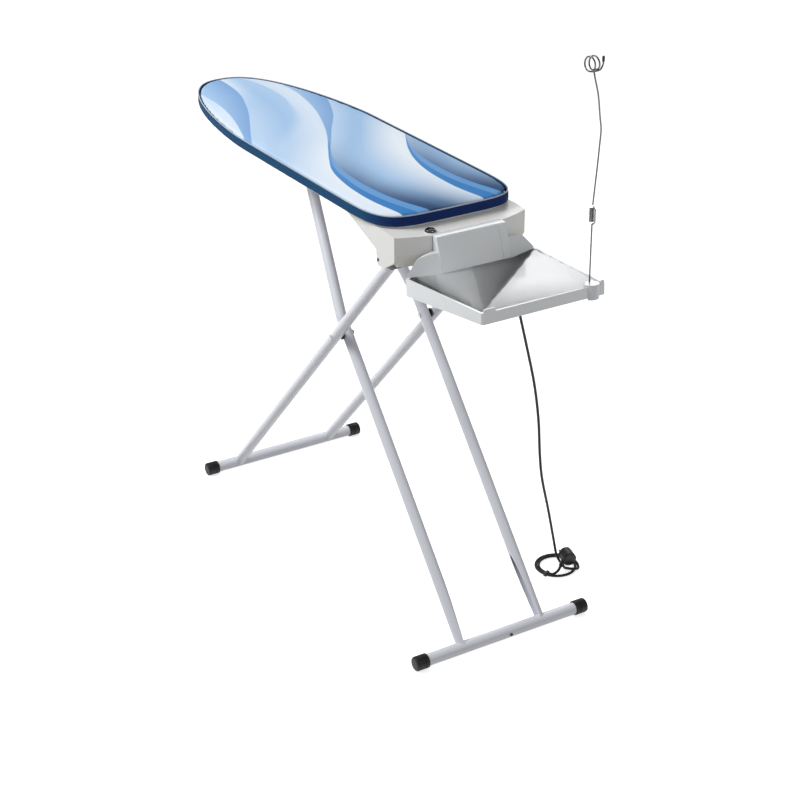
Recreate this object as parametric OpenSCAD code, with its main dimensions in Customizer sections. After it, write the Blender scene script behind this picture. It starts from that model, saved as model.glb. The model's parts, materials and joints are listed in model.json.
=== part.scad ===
// Air-assisted ironing board with a lift-off iron tray and a cord holder.
// Millimetres. +X runs from the nose to the tray end, -Y is the side the user
// reaches over, +Z is up. The origin is on the floor under the middle.

/* [Board] */
// length of the ironing surface
board_length = 1200; // [900:10:1400]
// width of the ironing surface
board_width = 380; // [300:5:450]
// height of the ironing surface above the floor
board_height = 1040; // [850:5:1100]
// length of the tapered nose
nose_length = 505; // [350:5:600]
// depth of the blue side band of the cover
band_depth = 25; // [18:1:32]

/* [Legs] */
// outer diameter of the leg tubes
leg_tube = 28; // [22:1:30]
// outer diameter of the foot bars
foot_bar = 30; // [24:1:34]
// distance between the middles of the foot caps on one bar
foot_span = 460; // [380:5:520]
// slope of the outer leg frame, which is hinged at the housing
outer_angle = 46.2; // [40:0.1:52]
// slope of the inner leg frame, which slides under the board
inner_angle = 49.2; // [42:0.1:54]
// distance from the hinge to the crossing of the two frames
cross_arm = 410; // [360:5:440]
// half distance between the outer leg tubes
outer_half = 144; // [138:1:152]
// half distance between the inner leg tubes at the floor
inner_half = 111; // [104:1:112]
// half distance between the inner leg tubes under the board
inner_top_half = 60; // [45:1:70]

/* [Housing] */
// length of the fan housing
housing_length = 224; // [190:2:260]
// how far the housing stands out past the board's end
housing_out = 24; // [22:1:34]
// half width of the housing
housing_half = 175; // [170:1:180]

/* [Tray] */
// length of the iron tray
tray_length = 286; // [220:2:330]
// half width of the iron tray at its back
tray_half = 176; // [150:1:190]
// half width of the iron tray at its front
tray_front_half = 160; // [130:1:180]
// depth of the tray's side walls at the back
tray_wall = 40; // [34:1:46]
// height of the tray's back wall beside its neck
wing_rise = 44; // [36:1:48]

/* [Cord holder] */
// length of the straight wire below the spring
lower_rod = 139; // [100:1:180]
// length of the wire from the spring to the loops
upper_rod = 300; // [220:5:340]
// wire diameter of the cord holder
wire = 3.6; // [3:0.2:5]
// number of turns of the flex spring
spring_turns = 7; // [5:1:9]

/* [Hidden] */

gap = 0.05;
half_l = board_length / 2;
half_w = board_width / 2;
foot_r = foot_bar / 2 + 3;
leg_r = leg_tube / 2;
bar_r = foot_bar / 2;
leg_wall = 1.5;
// radii of the hinge bolts, the hinge bushings, the crossing's rivets and the stub axles
bolt_r = 5;
bushing_r = 20;
rivet_r = 4;
axle_r = 6;
// pitch of the shell's ribs, and radius of the air way from the fan into the board
rib_pitch = 120;
air_r = 44;

// heights of the board's layers
top_z = board_height;
cover_z = top_z - 3;
pad_z = cover_z - 9.4;
plate_z = pad_z - 1.4;
shell_z = top_z - 32;
band_z = top_z - 2 - band_depth;

// hinge, crossing, slide rod and feet
hinge_x = half_l - 25.5;
hinge_z = board_height - 111;
fan_x = hinge_x - 90;
cross_x = hinge_x - cross_arm * cos(outer_angle);
cross_z = hinge_z - cross_arm * sin(outer_angle);
rod_x = cross_x - cross_arm * cos(inner_angle);
rod_z = cross_z + cross_arm * sin(inner_angle);
outer_foot_x = cross_x - (cross_z - foot_r) / tan(outer_angle);
inner_foot_x = cross_x + (cross_z - foot_r) / tan(inner_angle);
rail_tilt = atan((rod_z - hinge_z) / (hinge_x - rod_x));
bend_s = 45;
rail_start = hinge_x - rod_x - 30;
rail_end = 2 * cross_arm + 20;
rail_y = 30;
rail_screw_y = 21;
rail_screw_xs = [rod_x + 20, rod_x - 120, rod_x - 260];
lever_x = rod_x + 90;
lever_y = 77;
bend_x = cross_x - bend_s * cos(inner_angle);
bend_z = cross_z + bend_s * sin(inner_angle);

// housing
end_x = half_l + housing_out;
housing_screw_xs = [end_x - 170, end_x - 40];
housing_screw_y = 84;
gl_x = end_x - 15;
gl_y = 140;
deck_z = shell_z - 3.5;
pan_z = deck_z - 68.5;
part_z = deck_z - 41;
skirt_half = housing_half - 6.3;
flank = 6;
wall = 3;
// the bowed end, and the notch in it that takes the tray's neck
end_arc = 427;
notch_x = end_x + 24;
neck_half = 92;
knob_x = end_x + 8;
knob_y = -85;
knob_z = deck_z + 1.4;

// tray
tray_x = end_x + 46;
tray_z = deck_z - 78.5;
tray_tilt = 3.3;
// where the neck meets the floor, and how far the back wall sweeps back from there
crease_x = 27;
sweep_angle = 17.5;
floor_drop = 4.5;
pocket_z = -floor_drop - 0.4;
plate_low = -8;
screw_x = crease_x + 7;
clip_y = 127;
clip_r = 18;
tray_screw_ys = [-70, 0, 70];
tongue_y = 40;
clip_x = tray_x + (tray_length - 9) * cos(tray_tilt);
clip_z = tray_z + (tray_length - 9) * sin(tray_tilt);
wire_x = clip_x - 6;
wire_r = wire / 2;
spring_z = clip_z + lower_rod;
spring_h = 40;
spring_r = 6.4;
loop_r = 14;
hinge_top = spring_z + spring_h + 1.2;
loop_z = hinge_top + upper_rod + 9;

// the middle of the whole object, taken off every x
front_x = max(tray_x + tray_length * cos(tray_tilt) + 9, inner_foot_x + foot_r);
mid_x = (front_x - half_l) / 2;

white = [0.90, 0.90, 0.89];
coat = [0.87, 0.88, 0.91];
black = [0.08, 0.08, 0.09];
steel = [0.70, 0.71, 0.73];
navy = [0.05, 0.22, 0.42];
dark_wire = [0.32, 0.32, 0.34];

// ---------------------------------------------------------------- helpers
function unit(v) = v / norm(v);
function tang(p, i) = i == 0 ? unit(p[1] - p[0])
  : i == len(p) - 1 ? unit(p[i] - p[i - 1])
  : unit(unit(p[i + 1] - p[i]) + unit(p[i] - p[i - 1]));
function across(n, t) = unit(n - (n * t) * t);

// round tube swept along a list of points
module sweep(p, r, n = 12, seed = [0.31, 0.87, 0.23]) {
  fr = [for (i = 0, t = tang(p, 0), a = across(seed, t); i < len(p);
        i = i + 1, t = i < len(p) ? tang(p, i) : t, a = across(a, t)) [p[i], a, cross(t, a)]];
  pts = [for (f = fr) for (k = [0 : n - 1]) f[0] + r * (cos(360 * k / n) * f[1] + sin(360 * k / n) * f[2])];
  m = len(p);
  skin = [for (i = [0 : m - 2]) for (k = [0 : n - 1])
    [i * n + k, (i + 1) * n + k, (i + 1) * n + (k + 1) % n, i * n + (k + 1) % n]];
  faces = concat([[for (k = [0 : n - 1]) k]], [[for (k = [n - 1 : -1 : 0]) (m - 1) * n + k]], skin);
  polyhedron(pts, faces, convexity = 6);
}
// points of a smooth curve through hand-chosen points
function cr(a, b, c, d, t) = 0.5 * ((2 * b) + (c - a) * t + (2 * a - 5 * b + 4 * c - d) * t * t
  + (3 * b - a - 3 * c + d) * t * t * t);
function smooth(p, k) = [for (i = [0 : len(p) - 2]) for (j = [0 : (i == len(p) - 2 ? k : k - 1)])
  cr(p[max(i - 1, 0)], p[i], p[i + 1], p[min(i + 2, len(p) - 1)], j / k)];

module seg(a, b, r, n = 48) {
  v = b - a;
  translate(a) rotate([0, acos(v[2] / norm(v)), atan2(v[1], v[0])]) cylinder(h = norm(v), r = r, $fn = n);
}
// cylinder along Y from y0 to y1
module ybar(x, z, y0, y1, r, n = 48)
  translate([x, y0, z]) rotate([-90, 0, 0]) cylinder(h = y1 - y0, r = r, $fn = n);
// plan drawn in X and Y, raised from z0 to z1
module slab(z0, z1) { translate([0, 0, z0]) linear_extrude(z1 - z0, convexity = 6) children(); }
// box from corner to corner
module bx(a, b) { translate(a) cube(b - a); }
// the same piece on the near and the far side
module both() {
  children();
  mirror([0, 1, 0]) children();
}
// profile drawn in X and Z, given a thickness in Y
module side(y0, y1, pts)
  translate([0, y1, 0]) rotate([90, 0, 0]) linear_extrude(y1 - y0, convexity = 6) polygon(pts);

// outline of the ironing surface grown by d: a rounded nose, straight sides, a squarer tail
tail = 221;
function nose_half(d) = [for (i = [1 : 20]) let (w = sin(90 * i / 20))
  [-half_l - d + (nose_length + d) * (1 - pow(max(0, 1 - pow(w, 2.5)), 2 / 3)), -(half_w + d) * w]];
function tail_half(d) = [for (i = [0 : 11]) let (a = 90 * i / 12)
  [half_l - tail + (tail + d) * pow(sin(a), 0.45), -(half_w + d) * pow(cos(a), 0.37)]];
function half_outline(d) = concat(nose_half(d), tail_half(d));
module outline(d = 0) {
  h = half_outline(d);
  polygon(concat([[-half_l - d, 0]], h, [[half_l + d, 0]],
    [for (i = [len(h) - 1 : -1 : 0]) [h[i][0], -h[i][1]]]));
}

// ---------------------------------------------------------------- board
module board_shell() color(white) difference() {
  union() {
    difference() {
      translate([0, 0, shell_z]) linear_extrude(plate_z - shell_z - 0.1) outline(-6);
      translate([0, 0, shell_z + 2.5]) linear_extrude(40) outline(-9);
    }
    // posts under the steel plate, and ribs across the shell
    for (x = [half_l - 120 : -rib_pitch : 240 - half_l]) for (y = [-80, 80])
      translate([x, y, shell_z + 2]) cylinder(h = plate_z - shell_z - 2.1, r = 5, $fn = 24);
    for (x = [half_l - 60 : -rib_pitch : 180 - half_l])
      bx([x, -60, shell_z + 2], [x + 2.5, 60, plate_z - 6]);
  }
  // air inlet over the fan, and pilot holes for the rails' screws
  translate([fan_x, 0, shell_z - 1]) cylinder(h = 5, r = air_r, $fn = 48);
  for (x = rail_screw_xs) for (s = [-1, 1])
    translate([x, s * rail_screw_y, shell_z - 1]) cylinder(h = 5, r = 1.6, $fn = 24);
}
module perforated_plate() color(steel) translate([0, 0, plate_z]) linear_extrude(1.2) difference() {
  outline(-7);
  // steam holes, in a narrower field towards the nose
  for (x = [60 - half_l : 45 : half_l - 40]) for (y = [-150 : 50 : 150])
    if (x > 270 - half_l || abs(y) < 60) translate([x, y]) circle(r = 4, $fn = 16);
}
module foam_pad() color([0.86, 0.84, 0.78]) translate([0, 0, pad_z]) linear_extrude(8.8) outline(-6.5);
module cover_top() color([0.62, 0.75, 0.90]) translate([0, 0, cover_z - 0.2]) {
  linear_extrude(1.7) outline(-2.6);
  translate([0, 0, 1.7]) linear_extrude(1.5) outline(-4);
}
module cover_band() color(navy) {
  difference() {
    translate([0, 0, band_z + 1.5]) linear_extrude(band_depth - 4.2) outline(0);
    translate([0, 0, band_z - 1]) linear_extrude(band_depth + 4) outline(-2);
  }
  difference() {
    translate([0, 0, band_z]) linear_extrude(1.5) outline(0);
    translate([0, 0, band_z - 1]) linear_extrude(4) outline(-5.6);
  }
}
module cover_piping() color([0.72, 0.75, 0.78]) difference() {
  translate([0, 0, cover_z - 1.5]) linear_extrude(2.4) outline(-0.2);
  translate([0, 0, cover_z - 2]) linear_extrude(4) outline(-2.2);
}

// ---------------------------------------------------------------- housing
// plan of the bowed end from x0 outwards, w to each side, shrunk by d
module end_plan(d, x0, w) difference() {
  intersection() {
    translate([end_x - 388, 0]) circle(r = end_arc - d, $fn = 180);
    translate([x0, -w]) square([300, 2 * w]);
  }
  translate([notch_x - d, -neck_half - 1 - d]) square([60, 2 * (neck_half + 1 + d)]);
}
// side shape of the housing: low lobes carry the leg hinges
module housing_upper() color(white) difference() {
  union() {
    intersection() {
      both() side(-housing_half, -housing_half + flank, [
        [end_x - housing_length, shell_z - gap], [end_x - 78, deck_z - 51.5], [end_x - 76, hinge_z - 6],
        [end_x - 70, hinge_z - 12], [end_x - 46, hinge_z - 12], [end_x - 12, hinge_z + 8],
        [end_x + 8, hinge_z + 22], [end_x + 8, deck_z], [half_l - 6, shell_z - gap]]);
      slab(hinge_z - 20, shell_z + 1) end_plan(0, end_x - housing_length - 1, housing_half + 1);
    }
    // end wall above the parting line
    slab(part_z, deck_z - wall + 0.1) difference() {
      end_plan(0, end_x - 20, housing_half - flank);
      end_plan(wall, end_x - 21, housing_half);
    }
    // deck
    intersection() {
      side(-housing_half + flank, housing_half - flank, [[half_l - 14, shell_z - gap],
        [half_l - 14, shell_z - 3.4], [end_x + 6, deck_z - wall], [end_x + 60, deck_z - wall],
        [end_x + 60, deck_z], [end_x + 6, deck_z], [half_l - 6, shell_z - gap]]);
      slab(deck_z - 10, shell_z + 1) end_plan(0, half_l - 15, housing_half);
    }
    // top web under the board
    bx([end_x - housing_length + 6, -housing_half + flank, shell_z - 2.5],
      [half_l - 13.9, housing_half - flank, shell_z - gap]);
    // flat boss of the knob on the sloping deck
    translate([knob_x, knob_y, deck_z - wall]) cylinder(h = knob_z - deck_z + wall, r = 13.8, $fn = 48);
    // blind bosses for the hinge bolts
    both() ybar(hinge_x, hinge_z, -housing_half + 5, -housing_half + 11, 11);
  }
  both() ybar(hinge_x, hinge_z, -housing_half + 3, -housing_half + 14, bolt_r + gap);
  both() ybar(end_x - 69, hinge_z + 2, -housing_half - 1, -housing_half + 7, 2.1, 24);
  translate([fan_x, 0, shell_z - 4]) cylinder(h = 6, r = air_r, $fn = 48);
  // knob seat hole and the flat round it
  translate([knob_x, knob_y, deck_z - 8]) cylinder(h = 12, r = 7.1, $fn = 48);
  translate([knob_x, knob_y, knob_z]) cylinder(h = 12, r = 13.8, $fn = 48);
}
module housing_pan() color([0.88, 0.87, 0.83]) difference() {
  union() {
    // box under the web, between the leg hinges
    slab(pan_z, shell_z - 2.6) polygon([[end_x - 212, -90], [end_x - 206, -96], [end_x - 20, -96],
      [end_x - 20, 96], [end_x - 206, 96], [end_x - 212, 90]]);
    // end skirt under the parting line
    slab(pan_z, part_z - gap) end_plan(0, end_x - 28, skirt_half);
  }
  slab(pan_z + wall, shell_z) translate([end_x - 209, -93]) square([186, 186]);
  slab(pan_z + wall, shell_z) translate([end_x - 40, -90]) square([60, 180]);
  slab(pan_z + wall, shell_z) end_plan(wall, end_x - 25, skirt_half - wall);
  for (x = housing_screw_xs) for (s = [-1, 1])
    translate([x, s * housing_screw_y, pan_z - 1]) cylinder(h = 6, r = 2.1, $fn = 24);
  // room for the deck's slope
  side(-housing_half, housing_half, [[half_l - 14.3, shell_z + 1], [half_l - 14.3, shell_z - 3.8],
    [end_x + 6, deck_z - wall - 0.4], [end_x + 70, deck_z - wall - 0.4], [end_x + 70, shell_z + 1]]);
  // cord outlet in the skirt
  translate([gl_x, gl_y, pan_z - 1]) cylinder(h = 6, r = 7.1, $fn = 32);
  // air intake slots
  for (i = [0 : 8]) bx([end_x - 150 + i * 11, -40, pan_z - 1], [end_x - 145 + i * 11, 40, pan_z + 4]);
}
module housing_screws() color(steel) for (x = housing_screw_xs) for (s = [-1, 1]) {
  translate([x, s * housing_screw_y, pan_z - 2.2]) cylinder(h = 2.15, r = 3.8, $fn = 24);
  translate([x, s * housing_screw_y, pan_z - 0.1]) cylinder(h = 12, r = 2, $fn = 24);
}
module flange_screws() color(black) both() {
  ybar(end_x - 69, hinge_z + 2, -housing_half - 1.2, -housing_half - gap, 4, 24);
  ybar(end_x - 69, hinge_z + 2, -housing_half - 0.1, -housing_half + 6, 2, 24);
}
module knob_seat() color(black) translate([knob_x, knob_y, knob_z]) difference() {
  union() {
    translate([0, 0, gap]) cylinder(h = 2, r = 13, $fn = 48);
    translate([0, 0, -6]) cylinder(h = 7, r = 7, $fn = 48);
  }
  translate([0, 0, -8]) cylinder(h = 14, r = 3.1, $fn = 32);
}
module knob() color([0.2, 0.2, 0.22]) translate([knob_x, knob_y, knob_z]) {
  translate([0, 0, 2.3]) cylinder(h = 3.6, r1 = 11.6, r2 = 10.4, $fn = 48);
  translate([0, 0, -9]) cylinder(h = 12, r = 3, $fn = 32);
  bx([-9, -1.6, 5.8], [9, 1.6, 6.9]);
}
module fan_motor() color([0.35, 0.36, 0.38]) difference() {
  union() {
    translate([fan_x, 0, pan_z + 3.1]) cylinder(h = 20, r = 26, $fn = 48);
    translate([fan_x, 0, pan_z + 3.1]) cylinder(h = 24, r = 9, $fn = 48);
  }
  translate([fan_x, 0, pan_z + 8]) cylinder(h = 40, r = 3.05, $fn = 32);
}
module fan_scroll() color([0.3, 0.3, 0.32]) difference() {
  translate([fan_x, 0, pan_z + 3.1]) cylinder(h = 56, r = 66, $fn = 64);
  translate([fan_x, 0, pan_z + 2]) cylinder(h = 56, r = 63, $fn = 64);
  translate([fan_x, 0, pan_z + 50]) cylinder(h = 20, r = air_r, $fn = 48);
  bx([fan_x + 40, -28, pan_z + 8], [fan_x + 70, 28, pan_z + 40]);
}
module impeller() color([0.55, 0.56, 0.58]) translate([fan_x, 0, 0]) {
  translate([0, 0, pan_z + 28]) cylinder(h = 2, r = 52, $fn = 48);
  translate([0, 0, pan_z + 9]) cylinder(h = 36, r = 3, $fn = 32);
  translate([0, 0, pan_z + 29]) cylinder(h = 12, r = 12, $fn = 32);
  for (i = [0 : 11]) rotate([0, 0, i * 30]) translate([34, 0, pan_z + 29.9])
    rotate([0, 0, 28]) bx([0, -1, 0], [16, 1, 20]);
  difference() {
    translate([0, 0, pan_z + 49]) cylinder(h = 1.6, r = 52, $fn = 48);
    translate([0, 0, pan_z + 48]) cylinder(h = 4, r = 35, $fn = 48);
  }
}
module control_board() color([0.12, 0.36, 0.20]) {
  bx([end_x - 24, -70, pan_z + 6], [end_x - 22.4, 40, pan_z + 44]);
  for (y = [-55, -25, 5]) bx([end_x - 22.5, y, pan_z + 14], [end_x - 14, y + 16, pan_z + 30]);
  for (y = [-62, 30]) bx([end_x - 24, y, pan_z + 3.05], [end_x - 16, y + 6, pan_z + 6.1]);
}
module cable_gland() color(black) translate([gl_x, gl_y, pan_z]) difference() {
  union() {
    translate([0, 0, -14]) cylinder(h = 13.9, r1 = 5.5, r2 = 10, $fn = 32);
    translate([0, 0, -0.2]) cylinder(h = 8, r = 7, $fn = 32);
  }
  translate([0, 0, -15]) cylinder(h = 26, r = 3.75, $fn = 24);
}
module tray_hanger() color(white) difference() {
  bx([notch_x + gap, -60, deck_z - 60], [notch_x + 13, 60, deck_z - 42]);
  for (s = [-1, 1])
    bx([notch_x + 4, s * tongue_y - 12.6, deck_z - 57], [notch_x + 9, s * tongue_y + 12.6, deck_z - 30]);
}
module pivot_brackets() color(steel) both() difference() {
  union() {
    side(-123, -120, [[hinge_x - 26, shell_z - 2.6], [hinge_x - 20, hinge_z], [hinge_x - 14, hinge_z - 12],
      [hinge_x + 14, hinge_z - 12], [hinge_x + 20, hinge_z], [half_l - 14.5, shell_z - 2.6]]);
    bx([hinge_x - 26, -120.1, shell_z - 5.6], [half_l - 14.5, -98, shell_z - 2.6]);
  }
  ybar(hinge_x, hinge_z, -126, -116, bolt_r + gap);
}
module pivot_bolts() color([0.5, 0.5, 0.52]) both() {
  ybar(hinge_x, hinge_z, -housing_half + 5.5, -115, bolt_r);
  ybar(hinge_x, hinge_z, -119.9, -115, 8, 6);
}

// ---------------------------------------------------------------- slide under the board
module guide_rails() color(steel) both() difference() {
  union() {
    translate([hinge_x, 0, hinge_z]) rotate([0, rail_tilt, 0]) {
      bx([-rail_end, -rail_y, -15], [-rail_start, -rail_y + 2.5, 15]);
      bx([-rail_end, -rail_y - 8, -15], [-rail_start, -rail_y + 1, -12.3]);
      bx([-rail_end, -rail_y - 12.5, 12.3], [-rail_start, -rail_y + 1, 15]);
      bx([-rail_end, -rail_y - 12, -13], [-rail_end + 2.5, -rail_y + 1, 13]);
    }
    side(-rail_y + 0.2, -rail_y + 2.7, [[rod_x + 28, rod_z], [rod_x + 28, shell_z - gap],
      [hinge_x - rail_end + 6, shell_z - gap], [hinge_x - rail_end + 6, rod_z + 6]]);
    bx([hinge_x - rail_end + 6, -rail_y + 1, shell_z - 2.5], [rod_x + 28, -rail_y + 14, shell_z - gap]);
  }
  for (x = rail_screw_xs) translate([x, -rail_screw_y, shell_z - 4]) cylinder(h = 6, r = 2.1, $fn = 24);
  for (x = [rod_x - 40, rod_x - 110, rod_x - 180]) ybar(x, shell_z - 24, -rail_y - 3, -rail_y + 6, 9, 24);
}
module rail_screws() color(steel)
  for (x = rail_screw_xs) for (s = [-1, 1]) translate([x, s * rail_screw_y, shell_z]) {
  translate([0, 0, -4.6]) cylinder(h = 2.05, r = 3.6, $fn = 24);
  translate([0, 0, -2.6]) cylinder(h = 8, r = 1.5, $fn = 24);
}

// the height lever is under the far edge of the board, where a hand reaches it from below
module lever_place() translate([lever_x, lever_y, shell_z - 18]) children();
// cylinder along X through the lever's pin
module lever_bar(x0, x1, r, n = 24)
  translate([x0, 0, 0]) rotate([0, 90, 0]) cylinder(h = x1 - x0, r = r, $fn = n);
module lever_bracket() color(steel) lever_place() difference() {
  union() {
    bx([-19, -15, 15.5], [19, 15, 18 - gap]);
    for (x = [-19, 16.5]) bx([x, -11, -8], [x + 2.5, 11, 15.6]);
  }
  lever_bar(-30, 30, 3.05);
}
module lever_pin() color([0.5, 0.5, 0.52]) lever_place() {
  lever_bar(-22, 22, 3);
  lever_bar(-22, -19.5, 5);
  lever_bar(19.5, 22, 5);
}
module release_lever() color(black) lever_place() difference() {
  union() {
    bx([-11, 0, -6], [7, 73, -1]);
    bx([-20, 63, -8], [20, 83, -2]);
    lever_bar(-15, 7, 6, 32);
  }
  lever_bar(-30, 30, 3.08);
}
// three turns round the pin, one leg on the lever and one on the bracket
module lever_spring() color([0.5, 0.5, 0.52]) lever_place() sweep(concat([[8.6, 9, 4.8], [8.6, 3, 4.8]],
  [for (i = [0 : 42]) [8.6 + i / 7, 4.6 * sin(i * 24 - 10), 4.6 * cos(i * 24 - 10)]],
  [[14.7, -7, 7], [14.7, -10, 14.6]]), 0.6, 8);

// ---------------------------------------------------------------- outer leg frame
module outer_tubes() color(coat) both() difference() {
  seg([hinge_x, -outer_half, hinge_z], [outer_foot_x, -outer_half, foot_r], leg_r);
  seg([hinge_x + 5, -outer_half, hinge_z + 5 * tan(outer_angle)],
    [outer_foot_x - 10, -outer_half, foot_r - 10 * tan(outer_angle)], leg_r - leg_wall);
  ybar(hinge_x, hinge_z, -outer_half - 20, -outer_half + 20, bushing_r + gap);
  ybar(outer_foot_x, foot_r, -outer_half - 20, -outer_half + 20, bar_r + gap);
  ybar(cross_x, cross_z, -outer_half - 20, -outer_half + 20, rivet_r + gap);
}
module foot_bar_at(x) difference() {
  ybar(x, foot_r, -foot_span / 2 - 8, foot_span / 2 + 8, bar_r);
  ybar(x, foot_r, -foot_span / 2 - 9, foot_span / 2 + 9, bar_r - leg_wall);
}
module caps_at(x) both() difference() {
  union() {
    ybar(x, foot_r, -foot_span / 2 - 13, -foot_span / 2 + 18, foot_r);
    translate([x, -foot_span / 2 - 12.9, foot_r]) rotate([90, 0, 0])
      cylinder(h = 3, r1 = foot_r, r2 = foot_r - 3, $fn = 48);
  }
  ybar(x, foot_r, -foot_span / 2 - 8 - gap, -foot_span / 2 + 20, bar_r + gap);
}
module outer_bar() color(coat) foot_bar_at(outer_foot_x);
module outer_caps() color(black) caps_at(outer_foot_x);
module outer_bushings() color(black) both() difference() {
  union() {
    ybar(hinge_x, hinge_z, -outer_half - 12, -outer_half + 12, bushing_r);
    difference() {
      seg([hinge_x, -outer_half, hinge_z],
        [hinge_x - 44 * cos(outer_angle), -outer_half, hinge_z - 44 * sin(outer_angle)],
        leg_r - leg_wall - gap);
      ybar(hinge_x, hinge_z, -outer_half - 20, -outer_half + 20, bushing_r - 1);
    }
  }
  ybar(hinge_x, hinge_z, -outer_half - 20, -outer_half + 20, bolt_r + 0.06);
}
module cross_rivets() color([0.45, 0.45, 0.47]) both() {
  ybar(cross_x, cross_z, -outer_half - leg_r - 1, -inner_half + leg_r + 1.2, rivet_r);
  ybar(cross_x, cross_z, -outer_half - leg_r - 2.4, -outer_half - leg_r - 0.1, 6, 24);
  ybar(cross_x, cross_z, -inner_half + leg_r + 0.3, -inner_half + leg_r + 2.4, 6, 24);
}

// ---------------------------------------------------------------- inner leg frame
// each tube runs straight past the crossing, then leans in towards the rails
lean = atan((inner_half - inner_top_half) / (cross_arm - bend_s));
low_run = bend_s + (cross_z - foot_r) / sin(inner_angle);
high_run = (cross_arm - bend_s) / cos(lean) + 14;
module inner_frame() translate([bend_x, -inner_half, bend_z]) rotate([0, inner_angle - 90, 0]) children();
// space above or below the weld at the bend
weld = 0.02;
module mitre(up) rotate([-lean / 2, 0, 0])
  translate([-60, -60, up ? weld / 2 : -1200 - weld / 2]) cube([120, 120, 1200]);
module bent_tube(r, e) inner_frame() {
  intersection() {
    translate([0, 0, -low_run - e]) cylinder(h = low_run + e + 40, r = r, $fn = 48);
    mitre(false);
  }
  intersection() {
    rotate([-lean, 0, 0]) translate([0, 0, -40]) cylinder(h = high_run + e + 40, r = r, $fn = 48);
    mitre(true);
  }
}
module inner_tubes() color(coat) both() difference() {
  bent_tube(leg_r, 0);
  bent_tube(leg_r - leg_wall, 10);
  ybar(inner_foot_x, foot_r, -inner_half - 20, -inner_half + 20, bar_r + gap);
  ybar(cross_x, cross_z, -inner_half - 20, -inner_half + 20, rivet_r + gap);
  ybar(rod_x, rod_z, -inner_top_half - 30, -inner_top_half + 30, axle_r + gap);
}
module inner_bar() color(coat) difference() {
  foot_bar_at(inner_foot_x);
  translate([inner_foot_x, 18, foot_r]) rotate([0, 90, 0]) cylinder(h = 40, r = 3.05, $fn = 24);
}
module inner_caps() color(black) caps_at(inner_foot_x);
module bar_plug() color(black) translate([inner_foot_x, 18, foot_r]) rotate([0, 90, 0]) {
  translate([0, 0, bar_r - 6]) cylinder(h = 6.2, r = 3, $fn = 24);
  translate([0, 0, bar_r + 0.3]) cylinder(h = 1.2, r = 4.2, $fn = 24);
  translate([0, 0, bar_r]) cylinder(h = 0.5, r = 3, $fn = 24);
}
// stub axles through the tubes' upper ends carry the rollers that run in the rails
module slide_axles() color(steel) both() {
  ybar(rod_x, rod_z, -inner_top_half - 16, -rail_y - 1, axle_r);
  ybar(rod_x, rod_z, -inner_top_half - 18, -inner_top_half - 15.2, 9);
}
module inner_rollers() color([0.85, 0.85, 0.83]) both() difference() {
  union() {
    ybar(rod_x, rod_z, -rail_y - 12, -rail_y - 1.5, 12);
    ybar(rod_x, rod_z, -rail_y - 15, -rail_y - 11.9, 8.5);
  }
  ybar(rod_x, rod_z, -rail_y - 16, -rail_y, axle_r + gap);
}
module inner_plugs() color(black)
  both() inner_frame() rotate([-lean, 0, 0]) translate([0, 0, high_run - 5]) {
    cylinder(h = 5.05, r = leg_r - leg_wall - gap, $fn = 48);
    translate([0, 0, 5.05]) cylinder(h = 2, r = leg_r, $fn = 48);
  }
module cross_spacers() color(black) both() difference() {
  ybar(cross_x, cross_z, -outer_half + leg_r + 0.2, -inner_half - leg_r - 0.1, 12);
  ybar(cross_x, cross_z, -outer_half, -inner_half, rivet_r + 0.1);
}

// ---------------------------------------------------------------- tray
module tray_place() translate([tray_x, 0, tray_z]) rotate([0, -tray_tilt, 0]) children();
// plan of the dish grown by d: back corners swept back, front a little narrower
module tray_plan(d) {
  half = [[crease_x - 5 - d, 0], [crease_x - 5 - d, neck_half + 0.4 - d], [-10 - d, neck_half + 0.4 - d],
    [-d, tray_half - 8 + d], [6 - d, tray_half + d],
    [tray_length - 4 + d, tray_front_half + d], [tray_length + d, tray_front_half - 4 + d]];
  polygon(concat(half, [for (i = [len(half) - 1 : -1 : 0]) [half[i][0], -half[i][1]]]));
}
// far wing of the back wall, shrunk by d: a leaning face under a dome that falls to the corner
module wing(d) {
  near_y = neck_half + 0.4 + d;
  reach = tray_half - 6 - neck_half - 2 * d;
  low = d - 4;
  intersection() {
    translate([crease_x, neck_half, 0]) rotate([0, 0, sweep_angle])
      side(-20, 110, [[1.5 - d, low], [-19 - d, 50], [-90, 50], [-90, low]]);
    translate([-60, 0, 0]) rotate([90, 0, 90]) linear_extrude(120) polygon(concat(
      [[near_y, low - 1]],
      [for (a = [0 : 7.5 : 90]) [near_y + reach * sin(a), (wing_rise - d) * cos(a)]],
      [[near_y + reach, low - 1]]));
    slab(low - 1, 60) polygon([[-9.4 - 2 * d, near_y - 1], [0.6 - 2 * d, tray_half - 8.5],
      [6.4, tray_half - 0.7], [50, tray_half - 0.7], [50, near_y - 1]]);
  }
}
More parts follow.
